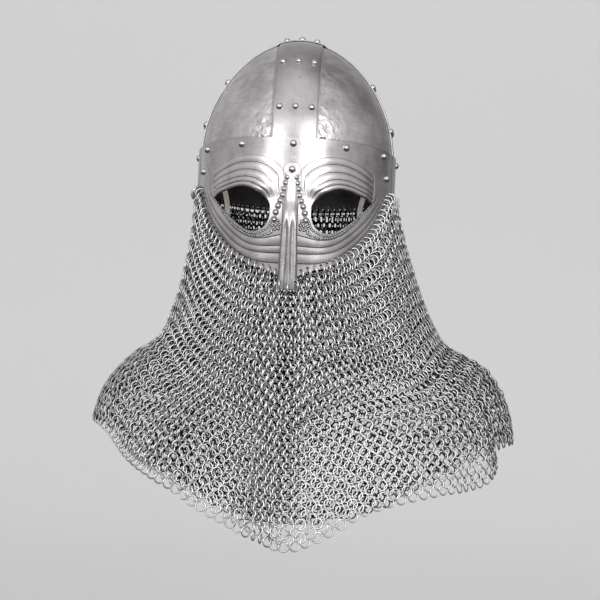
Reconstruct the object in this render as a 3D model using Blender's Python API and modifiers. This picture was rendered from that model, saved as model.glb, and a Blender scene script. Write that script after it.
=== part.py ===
"""Viking spectacle helmet with a mail curtain and a chin strap, as separate sub-parts.

Metres, +Z up, the face looks along -Y and the wearer's left is at +X. The origin is the underside of the
crown, where the helmet sits on the head. An angle is measured round the head from the front, positive
towards +X. A height is measured from the level where the dome is widest, and a lift is a distance
outwards from the outer face of the dome plates.
"""
import bpy
import bmesh
from math import cos, hypot, pi, radians, sin, sqrt
from mathutils import Vector

# Sheet metal and how its layers lie on each other
SHEET = 0.0014
GUARD_SHEET = 0.0016
LAP_GAP = 0.0005
STRAP_LIFT = SHEET + LAP_GAP
WALL_LIFT = STRAP_LIFT + GUARD_SHEET + LAP_GAP

# Dome of the plates: half-axes at its widest level, height above it, and how round its profile is
HALF_WIDTH = 0.1041
HALF_LENGTH = 0.1222
DOME_HEIGHT = 0.1300
DOME_TOP = SHEET
WIDEST = DOME_TOP - DOME_HEIGHT
ROUNDNESS = 2.4
PLATE_SKIRT = 0.018
PLATE_SEAM = 0.0003
CROWN_HOLE = 0.045

# Bands
BAND_WIDTH = 0.047
BAND_SKIRT = 0.014
CROSSING_RAMP = 0.012
BROW_TOP = 0.006
BROW_FOOT = -0.041

# Spectacle guard
GUARD_ANGLE = radians(70.0)
HOOP_END = radians(58.0)
HOOP_JOG = (radians(70.6), radians(72.6))
CHEEK_FLARE = 0.003
FLARE_LEVEL = -0.078
FLARE_REACH = 0.060
FLARE_ANGLE = radians(38.0)

# Lower rim of the guard: angle from the front in degrees, height
RIM = (
    (0.0, -0.1370),
    (5.0, -0.1358),
    (10.0, -0.1310),
    (20.0, -0.1255),
    (33.0, -0.1135),
    (43.0, -0.0995),
    (51.0, -0.0860),
    (57.0, -0.0720),
    (60.5, -0.0620),
    (64.0, -0.0505),
    (68.0, -0.0430),
    (72.0, -0.0410),
    (76.0, -0.0410),
)

# Eye opening on one side, round from its outer corner: angle from the front in degrees, height
EYE = (
    (49.8, -0.0530),
    (44.0, -0.0498),
    (38.0, -0.0472),
    (30.5, -0.0442),
    (24.5, -0.0446),
    (18.0, -0.0502),
    (13.8, -0.0566),
    (11.5, -0.0632),
    (11.3, -0.0698),
    (11.7, -0.0770),
    (13.3, -0.0838),
    (16.6, -0.0888),
    (20.8, -0.0904),
    (26.6, -0.0872),
    (36.8, -0.0740),
    (43.8, -0.0632),
)

# Nasal, down its length: height, half its width, how far it stands off the guard
NASAL = (
    (-0.0186, 0.0012, 0.0000),
    (-0.0196, 0.0050, 0.0000),
    (-0.0224, 0.0082, 0.0000),
    (-0.0272, 0.0094, 0.0000),
    (-0.0318, 0.0078, 0.0002),
    (-0.0355, 0.0038, 0.0008),
    (-0.0410, 0.0044, 0.0016),
    (-0.0472, 0.0055, 0.0024),
    (-0.0536, 0.0065, 0.0030),
    (-0.0600, 0.0072, 0.0034),
    (-0.0660, 0.0077, 0.0038),
    (-0.0720, 0.0078, 0.0040),
    (-0.0800, 0.0077, 0.0040),
    (-0.0950, 0.0079, 0.0036),
    (-0.1150, 0.0086, 0.0032),
    (-0.1350, 0.0094, 0.0028),
    (-0.1430, 0.0096, 0.0026),
    (-0.1495, 0.0091, 0.0024),
)
NASAL_SHEET = 0.0022
NASAL_CROWN = 0.0026

# Rivets
RIVET_RADIUS = 0.0035
RIVET_HEIGHT = 0.0027
RIVET_SEAT = 0.0003
BROW_RIVETS = 12
BROW_RIVET_LEVEL = 0.0000
CHEEK_RIVET = (64.5, -0.0225)
NASAL_RIVET_LEVEL = -0.0268
ROW_SPACING = 0.0165
FORE_AFT_ROWS = (0.0400, 0.0945)
CROSS_ROWS = (0.0350, 0.0830)
CROWN_ROW = 0.0165

# Mail curtain, from its rim down: share of its length, how far it reaches to each side, to the front and
# to the back, and share of its fall at the sides and at the front
MAIL_LEVELS = (
    # share, left, right, front, back, side_fall, front_fall
    (0.00, 0.1072, 0.1090, 0.1250, 0.1250, 0.000, 0.000),
    (0.17, 0.1103, 0.1224, 0.1275, 0.1190, 0.193, 0.175),
    (0.35, 0.1188, 0.1412, 0.1290, 0.1110, 0.395, 0.360),
    (0.45, 0.1268, 0.1540, 0.1300, 0.1090, 0.507, 0.460),
    (0.54, 0.1345, 0.1695, 0.1310, 0.1100, 0.598, 0.550),
    (0.60, 0.1430, 0.1890, 0.1330, 0.1150, 0.640, 0.612),
    (0.70, 0.1680, 0.2135, 0.1370, 0.1270, 0.702, 0.712),
    (0.85, 0.1965, 0.2335, 0.1450, 0.1400, 0.836, 0.855),
    (1.00, 0.2090, 0.2410, 0.1520, 0.1500, 1.000, 1.000),
    (1.38, 0.2110, 0.2420, 0.1540, 0.1520, 1.380, 1.380),
)

# Height of the mail where its share is 1: angle from the front in degrees, height. That is the hem in front
# and at the sides. From BACK_START on the hem goes down past it, by up to BACK_LENGTH of the share.
BACK_START = radians(96)
BACK_LENGTH = 0.38
HEM = (
    (-180.0, -0.3100),
    (-135.0, -0.3020),
    (-90.0, -0.2910),
    (-63.0, -0.3000),
    (-45.0, -0.3320),
    (-24.0, -0.3700),
    (-7.0, -0.3980),
    (2.0, -0.4100),
    (10.0, -0.4000),
    (23.0, -0.3690),
    (42.0, -0.3510),
    (56.0, -0.3440),
    (67.0, -0.3260),
    (82.0, -0.2990),
    (120.0, -0.3020),
    (180.0, -0.3100),
)

# Folds of the mail: angle from the front in degrees, half its width in degrees, how far it stands out
FOLDS = (
    (-44.0, 13.0, 0.004),
    (-30.0, 8.0, -0.004),
    (-8.0, 4.5, 0.005),
    (-2.5, 4.0, -0.004),
    (4.0, 4.5, 0.005),
    (62.0, 9.0, 0.006),
    (74.0, 8.0, -0.011),
    (86.0, 9.0, 0.005),
)
FOLD_START = 0.45
MAIL_WALL = 0.004
MAIL_TOP_GAP = 0.0022
NASAL_NOTCH = (5.2, 9.8, -0.1525)

# Chin strap, down one side to the middle: half its spread, depth, height
STRAP_ROUTE = (
    (0.0895, -0.0460, -0.0230),
    (0.0770, -0.0495, -0.0360),
    (0.0715, -0.0520, -0.0520),
    (0.0698, -0.0535, -0.0700),
    (0.0680, -0.0570, -0.1000),
    (0.0635, -0.0625, -0.1330),
    (0.0510, -0.0700, -0.1660),
    (0.0290, -0.0760, -0.1860),
    (0.0000, -0.0780, -0.1920),
)
STRAP_WIDTH = 0.0095
STRAP_THICKNESS = 0.0024


def clear_scene():
    for item in list(bpy.data.objects):
        bpy.data.objects.remove(item, do_unlink=True)


def collection(name):
    group = bpy.data.collections.new(name)
    bpy.context.scene.collection.children.link(group)
    return group


def material(name, colour, roughness, metallic):
    finish = bpy.data.materials.new(name)
    finish.use_nodes = True
    shader = finish.node_tree.nodes["Principled BSDF"]
    shader.inputs["Base Color"].default_value = (*colour, 1.0)
    shader.inputs["Roughness"].default_value = roughness
    shader.inputs["Metallic"].default_value = metallic
    finish.diffuse_color = (*colour, 1.0)
    return finish


def curve_through(rows, at):
    """The values of rows at the key `at`, on a smooth curve through them. Each row starts with its key."""
    keys = [row[0] for row in rows]
    last = len(rows) - 2
    place = 0
    while place < last and at > keys[place + 1]:
        place += 1
    before = rows[max(place - 1, 0)]
    start = rows[place]
    end = rows[place + 1]
    after = rows[min(place + 2, len(rows) - 1)]
    span = end[0] - start[0]
    t = min(max((at - start[0]) / span, 0.0), 1.0)
    values = []
    for i in range(1, len(start)):
        slope_in = (end[i] - before[i]) / (end[0] - before[0]) * span
        slope_out = (after[i] - start[i]) / (after[0] - start[0]) * span
        values.append(
            (2 * t**3 - 3 * t**2 + 1) * start[i]
            + (t**3 - 2 * t**2 + t) * slope_in
            + (3 * t**2 - 2 * t**3) * end[i]
            + (t**3 - t**2) * slope_out
        )
    return values


def ease(value, start, end):
    """0 before start, 1 after end, smooth between them."""
    t = min(max((value - start) / (end - start), 0.0), 1.0)
    return t * t * (3.0 - 2.0 * t)


def swell(drop):
    """Share of the dome's full width at a share of its height below the top."""
    drop = min(max(drop, 0.0), 1.0)
    power = ROUNDNESS - 1.0
    return sqrt(ROUNDNESS / power * drop * (1.0 - drop**power / ROUNDNESS))


def dome_point(angle, travel, lift=0.0):
    """A point of the dome. Travel 0 is the crown, 1 the widest level, and past 1 the upright skirt."""
    drop = 1.0 - cos(min(travel, 1.0) * pi / 2)
    fall = drop * (DOME_HEIGHT + lift) + max(travel - 1.0, 0.0) * DOME_HEIGHT
    width = (HALF_WIDTH + lift) * swell(drop)
    length = (HALF_LENGTH + lift) * swell(drop)
    return Vector((width * sin(angle), -length * cos(angle), DOME_TOP + lift - fall))


def outside_dome(point, lift):
    drop = (DOME_TOP + lift - point.z) / (DOME_HEIGHT + lift)
    spread = hypot(point.x / (HALF_WIDTH + lift), point.y / (HALF_LENGTH + lift))
    return drop <= 0.0 or spread > swell(drop)


def settle(point, inward, lift):
    """Moves a point inwards until it lies on the dome."""
    near, far = -0.004, 0.030
    for _ in range(26):
        middle = (near + far) / 2
        if outside_dome(point + inward * middle, lift):
            near = middle
        else:
            far = middle
    return point + inward * near


def meridian(angle, travel, lift):
    """A point half-way across a band, and the direction into the dome there."""
    step = 0.004
    here = dome_point(angle, travel, lift)
    along = dome_point(angle, travel + step, lift) - dome_point(angle, max(travel - step, 0.0), lift)
    outward = Vector((sin(angle), -cos(angle), 0.0))
    inward = Vector((outward.x * along.z, outward.y * along.z, -along.dot(outward))).normalized()
    return here, inward


def band_point(angle, travel, across, lift):
    """A point of a band that crosses the crown. Travel runs from -end to end, through 0 at the crown."""
    if travel < 0.0:
        here, inward = meridian(angle + pi, -travel, lift)
    else:
        here, inward = meridian(angle, travel, lift)
    side = Vector((cos(angle), sin(angle), 0.0))
    return settle(here + side * across, inward, lift)


def travel_at(height, lift):
    """Travel on the dome at which it has this height."""
    near, far = 0.0, 1.0
    for _ in range(30):
        middle = (near + far) / 2
        if dome_point(0.0, middle, lift).z - WIDEST > height:
            near = middle
        else:
            far = middle
    return near


def wall_point(angle, height, lift=WALL_LIFT):
    """A point of the upright wall that the brow band and the guard share, with the guard's flare."""
    turn = min(abs(angle) / FLARE_ANGLE, 1.0)
    level = min(abs(height - FLARE_LEVEL) / FLARE_REACH, 1.0)
    flare = CHEEK_FLARE * cos(turn * pi / 2) ** 2 * cos(level * pi / 2) ** 2
    width = HALF_WIDTH + lift
    length = HALF_LENGTH + lift + flare
    return Vector((width * sin(angle), -length * cos(angle), WIDEST + height))


def wall_normal(angle):
    width = HALF_WIDTH + WALL_LIFT
    length = HALF_LENGTH + WALL_LIFT
    return Vector((sin(angle) * length, -cos(angle) * width, 0.0)).normalized()


def rim_height(angle):
    return curve_through(RIM, min(abs(angle) * 180 / pi, RIM[-1][0]))[0]


def mail_point(angle, share):
    """A point of the middle of the mail's wall. Share 0 is its rim and 1 its hem in front."""
    turn = angle * 180 / pi
    reach = curve_through(MAIL_LEVELS, share)
    left, right, front, back, side_fall, front_fall = reach
    notch_near, notch_far, notch_height = NASAL_NOTCH
    notch = 1.0 - ease(abs(turn), notch_near, notch_far)
    top = rim_height(angle) - MAIL_TOP_GAP
    top += (notch_height - top) * notch
    hem = curve_through(HEM, turn)[0]
    side = sin(angle) ** 2
    fall = side_fall * side + front_fall * (1.0 - side)
    fold = 0.0
    for fold_angle, half_width, height in FOLDS:
        away = min(abs(turn - fold_angle) / half_width, 1.0)
        fold += height * cos(away * pi / 2) ** 2
    fold *= ease(share, FOLD_START, 1.0)
    width = (right if angle > 0.0 else left) + fold
    length = (front if abs(turn) < 90.0 else back) + fold
    height = top + (hem - top) * fall
    return Vector((width * sin(angle), -length * cos(angle), WIDEST + height))


def grid_sheet(name, group, finish, columns, rows, place, thickness, closed=False):
    """An open grid shaped by place(u, v), u to +X seen from outside and v upwards, given its thickness."""
    shape = bmesh.new()
    bmesh.ops.create_grid(shape, x_segments=columns, y_segments=rows, size=0.5)
    for vert in shape.verts:
        vert.co = place(vert.co.x + 0.5, vert.co.y + 0.5)
    if closed:
        bmesh.ops.remove_doubles(shape, verts=shape.verts, dist=0.00001)
    mesh = bpy.data.meshes.new(name)
    shape.to_mesh(mesh)
    shape.free()
    mesh.shade_smooth()
    mesh.set_sharp_from_angle(angle=radians(35))
    item = bpy.data.objects.new(name, mesh)
    group.objects.link(item)
    mesh.materials.append(finish)
    wall = item.modifiers.new("Thickness", "SOLIDIFY")
    wall.thickness = thickness
    wall.offset = -1.0
    wall.use_even_offset = True
    return item


def dome_plates(group, finish):
    """Four quarters of the skull, each under the bands at its edges."""
    rows = 9
    lowest = 1.0 + PLATE_SKIRT / DOME_HEIGHT
    for quarter in range(4):
        middle = (quarter + 0.5) * pi / 2
        seam = Vector((sin(middle), -cos(middle), 0.0)) * (PLATE_SEAM / 2 * sqrt(2.0))

        def place(u, v, quarter=quarter, seam=seam):
            travel = CROWN_HOLE + (lowest - CROWN_HOLE) * (1.0 - v)
            return dome_point((quarter + u) * pi / 2, travel) + seam

        grid_sheet(f"dome_plate_{quarter + 1}", group, finish, 11, rows, place, SHEET)


def band(name, group, finish, angle, crossing_lift):
    """A strap from side to side over the crown, lifted over the other strap where it crosses it."""
    end = 1.0 + BAND_SKIRT / DOME_HEIGHT

    def place(u, v):
        travel = (2.0 * v - 1.0) * end
        across = (u - 0.5) * BAND_WIDTH
        reach = HALF_WIDTH * swell(1.0 - cos(min(abs(travel), 1.0) * pi / 2))
        over = 1.0 - ease(reach, BAND_WIDTH / 2 + 0.003, BAND_WIDTH / 2 + 0.003 + CROSSING_RAMP)
        return band_point(angle + pi, travel, -across, STRAP_LIFT + crossing_lift * over)

    return grid_sheet(name, group, finish, 4, 48, place, SHEET)


def brow_band(group, finish):
    """Hoop round the sides and back, whose ends step in behind the guard."""
    inner_step = GUARD_SHEET + LAP_GAP

    def place(u, v):
        angle = HOOP_END + (2 * pi - 2 * HOOP_END) * u
        from_front = min(angle, 2 * pi - angle)
        jog = 1.0 - ease(from_front, HOOP_JOG[0], HOOP_JOG[1])
        height = BROW_FOOT + (BROW_TOP - BROW_FOOT) * v
        height_end = BROW_FOOT + 0.003 + (BROW_TOP - BROW_FOOT - 0.004) * v
        height += (height_end - height) * jog
        return wall_point(angle, height, WALL_LIFT - inner_step * jog)

    return grid_sheet("brow_band", group, finish, 72, 2, place, SHEET)


def guard(group, finish, cutters):
    """Face plate from the brow to the cheeks, with both eye openings cut through it."""

    def place(u, v):
        angle = GUARD_ANGLE * (2.0 * u - 1.0)
        foot = rim_height(angle)
        return wall_point(angle, foot + (BROW_TOP - foot) * v)

    plate = grid_sheet("spectacle_guard", group, finish, 56, 9, place, GUARD_SHEET)
    for side in (-1, 1):
        cut = plate.modifiers.new("Eye", "BOOLEAN")
        cut.operation = "DIFFERENCE"
        cut.solver = "EXACT"
        cut.object = eye_cutter(side, cutters)
    return plate


def eye_outline(side):
    """Points of one eye opening on the wall, smooth except at its outer corner."""
    steps = 3
    keyed = [(i, *row) for i, row in enumerate(EYE + EYE[:1])]
    points = []
    for i in range((len(keyed) - 1) * steps):
        turn, height = curve_through(keyed, i / steps)
        points.append(wall_point(side * radians(turn), height))
    return points


def eye_cutter(side, group):
    """A prism through the wall: the outline drawn in towards the axis and pushed out again."""
    inner, outer = 0.85, 1.15
    shape = bmesh.new()
    ring = [shape.verts.new((p.x * inner, p.y * inner, p.z)) for p in eye_outline(side)]
    face = shape.faces.new(ring)
    pushed = bmesh.ops.extrude_face_region(shape, geom=[face])
    for vert in pushed["geom"]:
        if isinstance(vert, bmesh.types.BMVert):
            vert.co.x *= outer / inner
            vert.co.y *= outer / inner
    bmesh.ops.recalc_face_normals(shape, faces=shape.faces)
    mesh = bpy.data.meshes.new("eye_cutter")
    shape.to_mesh(mesh)
    shape.free()
    cutter = bpy.data.objects.new("eye_cutter", mesh)
    group.objects.link(cutter)
    cutter.hide_render = True
    cutter.display_type = "WIRE"
    return cutter


def nasal(group, finish):
    """Bar down the nose over the guard, round-topped, crowned across its width."""
    top, foot = -NASAL[0][0], -NASAL[-1][0]
    keyed = [(-row[0], row[1], row[2]) for row in NASAL]

    def place(u, v):
        depth = foot + (top - foot) * v**1.4
        half, stand = curve_through(keyed, depth)
        across = (2.0 * u - 1.0) * half
        crown = NASAL_CROWN * (1.0 - (2.0 * u - 1.0) ** 2) * min(half / 0.005, 1.0)
        angle = across / (HALF_WIDTH + WALL_LIFT)
        point = wall_point(angle, -depth)
        lift = LAP_GAP + NASAL_SHEET + stand + crown
        return point + wall_normal(angle) * lift

    return grid_sheet("nasal_bar", group, finish, 6, 26, place, NASAL_SHEET)


def rivet_mesh(finish):
    """A low domed head, flat below."""
    shape = bmesh.new()
    bmesh.ops.create_uvsphere(shape, u_segments=10, v_segments=6, radius=RIVET_RADIUS)
    everything = shape.verts[:] + shape.edges[:] + shape.faces[:]
    bmesh.ops.bisect_plane(
        shape, geom=everything, plane_co=(0, 0, 0), plane_no=(0, 0, 1), clear_inner=True
    )
    bmesh.ops.holes_fill(shape, edges=shape.edges[:])
    bmesh.ops.scale(shape, verts=shape.verts, vec=(1, 1, RIVET_HEIGHT / RIVET_RADIUS))
    bmesh.ops.recalc_face_normals(shape, faces=shape.faces)
    mesh = bpy.data.meshes.new("rivet")
    shape.to_mesh(mesh)
    shape.free()
    mesh.shade_smooth()
    mesh.set_sharp_from_angle(angle=radians(50))
    mesh.materials.append(finish)
    return mesh


def rivet(name, group, mesh, point, outward):
    item = bpy.data.objects.new(name, mesh)
    item.location = point + outward * RIVET_SEAT
    item.rotation_mode = "QUATERNION"
    item.rotation_quaternion = outward.to_track_quat("Z", "Y")
    group.objects.link(item)


def wall_rivets(group, mesh):
    """Rivets round the brow, two more at the guard's ends and one in the nasal's round top."""
    for i in range(BROW_RIVETS):
        angle = i * 2 * pi / BROW_RIVETS
        name = f"brow_rivet_{i + 1}"
        rivet(name, group, mesh, wall_point(angle, BROW_RIVET_LEVEL), wall_normal(angle))
    turn, height = CHEEK_RIVET
    for name, side in (("cheek_rivet_left", -1), ("cheek_rivet_right", 1)):
        angle = side * radians(turn)
        rivet(name, group, mesh, wall_point(angle, height), wall_normal(angle))
    outward = wall_normal(0.0)
    seat = LAP_GAP + NASAL_SHEET + NASAL_CROWN
    rivet("nasal_rivet", group, mesh, wall_point(0.0, NASAL_RIVET_LEVEL) + outward * seat, outward)


def band_rivets(group, mesh):
    """Rows of three across both bands, and one row each side of the crossing."""
    sides = (
        ("front", 0.0, FORE_AFT_ROWS),
        ("right", pi / 2, CROSS_ROWS),
        ("back", pi, FORE_AFT_ROWS),
        ("left", -pi / 2, CROSS_ROWS),
    )
    for side, angle, heights in sides:
        for row, height in enumerate(heights):
            travel = travel_at(height, STRAP_LIFT)
            for i in (-1, 0, 1):
                point = band_point(angle, travel, i * ROW_SPACING, STRAP_LIFT)
                near = band_point(angle, travel, (i + 0.1) * ROW_SPACING, STRAP_LIFT)
                below = band_point(angle, travel + 0.01, i * ROW_SPACING, STRAP_LIFT)
                outward = (below - point).cross(near - point).normalized()
                rivet(f"{side}_rivet_{row + 1}_{i + 2}", group, mesh, point, outward)
    top_lift = 2 * STRAP_LIFT
    for side, angle in (("front", 0.0), ("back", pi)):
        travel = CROWN_ROW / (HALF_LENGTH * pi / 2 * 0.93)
        for i in (-1, 0, 1):
            point = band_point(angle, travel, i * ROW_SPACING, top_lift)
            near = band_point(angle, travel, (i + 0.1) * ROW_SPACING, top_lift)
            below = band_point(angle, travel + 0.01, i * ROW_SPACING, top_lift)
            outward = (below - point).cross(near - point).normalized()
            rivet(f"{side}_rivet_crown_{i + 2}", group, mesh, point, outward)


def mail(group, finish):
    """The mail's outer form, open at its rim and hem."""

    def place(u, v):
        angle = pi * (2.0 * (u % 1.0) - 1.0)
        hem = 1.0 + BACK_LENGTH * ease(abs(angle), BACK_START, pi)
        point = mail_point(angle, hem * (1.0 - v))
        outward = Vector((sin(angle), -cos(angle), 0.0))
        return point + outward * (MAIL_WALL / 2)

    return grid_sheet("mail_curtain", group, finish, 72, 14, place, MAIL_WALL, closed=True)


def chin_strap(group, finish):
    """Flat strap from the guard's ends down the cheeks and under the chin."""
    half = [(i, *row) for i, row in enumerate(STRAP_ROUTE)]
    last = len(half) - 1

    def middle(along):
        side = 1 if along > 0.0 else -1
        x, y, height = curve_through(half, last * (1.0 - abs(along)))
        return Vector((side * x, y, WIDEST + height))

    def place(u, v):
        along = 1.0 - 2.0 * v
        step = 0.01
        ahead = middle(min(along + step, 1.0))
        behind = middle(max(along - step, -1.0))
        run = (ahead - behind).normalized()
        across = Vector((0.0, 1.0, 0.0))
        across = (across - run * across.dot(run)).normalized()
        outward = across.cross(run)
        point = middle(along)
        return point + across * (STRAP_WIDTH * (u - 0.5)) + outward * (STRAP_THICKNESS / 2)

    return grid_sheet("chin_strap", group, finish, 1, 44, place, STRAP_THICKNESS)


clear_scene()
parts = collection("viking_spectacle_helmet")
cutters = collection("cutters")

hammered_steel = material("hammered_steel", (0.40, 0.40, 0.41), 0.42, 1.0)
band_steel = material("band_steel", (0.50, 0.50, 0.51), 0.30, 1.0)
guard_steel = material("guard_steel", (0.52, 0.52, 0.53), 0.28, 1.0)
rivet_steel = material("rivet_steel", (0.62, 0.62, 0.63), 0.22, 1.0)
mail_steel = material("mail_steel", (0.66, 0.67, 0.68), 0.30, 1.0)
strap_leather = material("strap_leather", (0.62, 0.54, 0.42), 0.70, 0.0)

dome_plates(parts, hammered_steel)
band("fore_aft_band", parts, band_steel, 0.0, 0.0)
band("cross_band", parts, band_steel, pi / 2, STRAP_LIFT)
brow_band(parts, band_steel)
guard(parts, guard_steel, cutters)
nasal(parts, guard_steel)
head = rivet_mesh(rivet_steel)
wall_rivets(parts, head)
band_rivets(parts, head)
mail(parts, mail_steel)
chin_strap(parts, strap_leather)
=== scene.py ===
"""Looks of the viking spectacle helmet with its mail curtain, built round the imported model.

Metres, +Z up, the face looks along -Y and the wearer's left is at +X. An angle is measured round the head
from the front, positive towards +X. A height is measured from the level where the skull is widest, and a
lift is a distance outwards from the outer face of the skull's plates.
"""

from math import cos, pi, radians, sin

import bpy
import numpy as np
from mathutils import Matrix, Vector


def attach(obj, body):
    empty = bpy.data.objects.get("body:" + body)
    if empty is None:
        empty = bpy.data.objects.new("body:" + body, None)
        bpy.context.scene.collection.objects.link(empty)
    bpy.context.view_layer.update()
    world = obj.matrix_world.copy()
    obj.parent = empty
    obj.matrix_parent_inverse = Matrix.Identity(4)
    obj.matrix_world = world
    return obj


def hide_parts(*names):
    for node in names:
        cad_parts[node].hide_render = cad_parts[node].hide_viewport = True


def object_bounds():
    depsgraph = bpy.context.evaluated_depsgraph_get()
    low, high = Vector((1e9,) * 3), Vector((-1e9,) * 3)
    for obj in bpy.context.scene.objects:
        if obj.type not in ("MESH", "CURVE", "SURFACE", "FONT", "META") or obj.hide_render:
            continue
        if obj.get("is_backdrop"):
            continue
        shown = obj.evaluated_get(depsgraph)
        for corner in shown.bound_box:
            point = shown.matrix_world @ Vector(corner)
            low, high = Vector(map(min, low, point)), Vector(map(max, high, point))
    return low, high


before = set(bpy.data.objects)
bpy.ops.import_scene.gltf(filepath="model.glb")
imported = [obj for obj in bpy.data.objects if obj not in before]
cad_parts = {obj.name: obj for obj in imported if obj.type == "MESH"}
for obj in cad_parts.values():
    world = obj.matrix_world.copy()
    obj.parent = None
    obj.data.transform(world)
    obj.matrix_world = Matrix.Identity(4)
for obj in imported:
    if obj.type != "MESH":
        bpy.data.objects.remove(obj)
cad_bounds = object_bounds()

# ---------------------------------------------------------------------------------------------------
# The skull: four quarters of 1.4 mm sheet steel, raised over a stake and planished, which leaves a dull
# surface with shallow dents. They meet edge to edge under the bands, which are riveted over the seams.
SHEET = 0.0014
EDGE = 0.0003
HALF_WIDTH = 0.1041
HALF_LENGTH = 0.1222
SKULL_HEIGHT = 0.1300
SKULL_TOP = SHEET
WIDEST = SKULL_TOP - SKULL_HEIGHT
ROUNDNESS = 2.4
PLATE_SKIRT = 0.018
PLATE_SEAM = 0.0003
CROWN_HOLE = 0.045
BAND_WIDTH = 0.047


class Number:
    """A number or colour socket. Python operators on it add the Math nodes of the expression."""

    def __init__(self, nodes, socket):
        self.nodes = nodes
        self.socket = socket

    def math(self, operation, *others):
        sockets = dict(enumerate((self, *others)))
        return self.nodes.add("ShaderNodeMath", {"operation": operation}, sockets)

    def __add__(self, other):
        return self.math("ADD", other)

    def __sub__(self, other):
        return self.math("SUBTRACT", other)

    def __rsub__(self, other):
        return self.math("MULTIPLY", -1.0).math("ADD", other)

    def __mul__(self, other):
        return self.math("MULTIPLY", other)

    def __truediv__(self, other):
        return self.math("DIVIDE", other)

    def __abs__(self):
        return self.math("ABSOLUTE")

    __radd__ = __add__
    __rmul__ = __mul__

    def step(self, start, end):
        """0 up to start, 1 from end on, smooth between them."""
        sockets = {"Value": self, "From Min": start, "From Max": end}
        return self.nodes.add("ShaderNodeMapRange", {"interpolation_type": "SMOOTHSTEP"}, sockets)

    def fade(self, start, end):
        """1 up to start, 0 from end on."""
        return 1.0 - self.step(start, end)

    def most(self, other):
        """The larger of the two."""
        return self.math("MAXIMUM", other)


class Nodes:
    """A node tree that is being built."""

    def __init__(self, tree):
        self.tree = tree

    def add(self, kind, settings=None, sockets=None, output=0):
        """One node: its type, its settings, the values or links of its sockets, and the output wanted."""
        node = self.tree.nodes.new(kind)
        for name, value in (settings or {}).items():
            if name == "stops":
                self.set_stops(node.color_ramp, value)
            else:
                setattr(node, name, value)
        for key, value in (sockets or {}).items():
            self.put(node.inputs[key], value)
        return Number(self, node.outputs[output]) if node.outputs else None

    def set_stops(self, ramp, stops):
        """A smooth ramp through greys, each with its place on the ramp and its brightness."""
        ramp.interpolation = "EASE"
        for row, (place, bright) in enumerate(stops):
            stop = ramp.elements[row] if row < 2 else ramp.elements.new(place)
            stop.position = place
            stop.color = (bright, bright, bright, 1.0)

    def put(self, socket, value):
        if isinstance(value, Number):
            self.tree.links.new(value.socket, socket)
        else:
            socket.default_value = value

    def mix(self, share, first, second):
        """The colour that is this share of the way from the first colour to the second."""
        first, second = (c if isinstance(c, Number) else (*c, 1.0) for c in (first, second))
        colours = {0: share, 6: first, 7: second}
        return self.add("ShaderNodeMix", {"data_type": "RGBA"}, colours, 2)

    def scaled(self, vector, factors):
        return self.add("ShaderNodeVectorMath", {"operation": "MULTIPLY"}, {0: vector, 1: factors})

    def noise(self, vector, scale, detail=3.0, roughness=0.5):
        sockets = {"Vector": vector, "Scale": scale, "Detail": detail, "Roughness": roughness}
        return self.add("ShaderNodeTexNoise", None, sockets, "Fac")

    def cells(self, vector, scale, smoothness):
        """Distance to the nearest of scattered points, rounded where two are equally near."""
        sockets = {"Vector": vector, "Scale": scale, "Smoothness": smoothness}
        return self.add("ShaderNodeTexVoronoi", {"feature": "SMOOTH_F1"}, sockets, "Distance")

    def axes(self, vector):
        """The three numbers of a vector."""
        split = self.add("ShaderNodeSeparateXYZ", None, {0: vector}).socket.node
        return [Number(self, socket) for socket in split.outputs]


class Finish(Nodes):
    """A material under construction, on its Principled shader."""

    def __init__(self, name, metallic=1.0):
        self.material = bpy.data.materials.new(name)
        self.material.use_nodes = True
        super().__init__(self.material.node_tree)
        self.shader = self.tree.nodes["Principled BSDF"]
        self.place = self.add("ShaderNodeTexCoord", output="Object")
        self.shade("Metallic", metallic)

    def shade(self, socket, value):
        """Gives one of the shader's sockets a value or a link."""
        self.put(self.shader.inputs[socket], value)

    def own(self, name):
        """A value that the mesh itself carries."""
        return self.add("ShaderNodeAttribute", {"attribute_name": name}, output="Fac")

    def mapped(self, name):
        """The two numbers of one of the mesh's own UV maps."""
        return self.axes(self.add("ShaderNodeUVMap", {"uv_map": name}))[:2]

    def surface(self, colour, roughness, height, depth):
        """Sets the colour, the roughness and the relief, whose height is in shares of the depth."""
        self.shade("Base Color", colour)
        self.shade("Roughness", roughness)
        sockets = {"Height": height, "Strength": 1.0, "Distance": depth}
        self.shade("Normal", self.add("ShaderNodeBump", None, sockets, "Normal"))
        return self.material


def swell(drop):
    """Share of the skull's full width at a share of its height below the top."""
    drop = np.clip(drop, 0.0, 1.0)
    power = ROUNDNESS - 1.0
    return np.sqrt(ROUNDNESS / power * drop * (1.0 - drop**power / ROUNDNESS))


def skull_point(angle, travel, lift=0.0):
    """Points of the skull. Travel 0 is the crown, 1 the widest level, and past 1 the upright skirt."""
    drop = 1.0 - np.cos(np.minimum(travel, 1.0) * pi / 2)
    fall = drop * (SKULL_HEIGHT + lift) + np.maximum(travel - 1.0, 0.0) * SKULL_HEIGHT
    width = (HALF_WIDTH + lift) * swell(drop)
    length = (HALF_LENGTH + lift) * swell(drop)
    return np.stack([width * np.sin(angle), -length * np.cos(angle), SKULL_TOP + lift - fall], -1)


def evenly(columns, rows, start=0.0):
    """Two numbers over a grid: from start to 1 along its columns, and from 0 to 1 up its rows."""
    return np.meshgrid(np.linspace(start, 1, columns), np.linspace(0, 1, rows), indexing="ij")


def new_piece(name, points, faces, material):
    mesh = bpy.data.meshes.new(name)
    mesh.from_pydata(np.asarray(points).reshape(-1, 3).tolist(), [], faces)
    mesh.materials.append(material)
    mesh.shade_smooth()
    piece = bpy.data.objects.new(name, mesh)
    bpy.context.scene.collection.objects.link(piece)
    return piece


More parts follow.
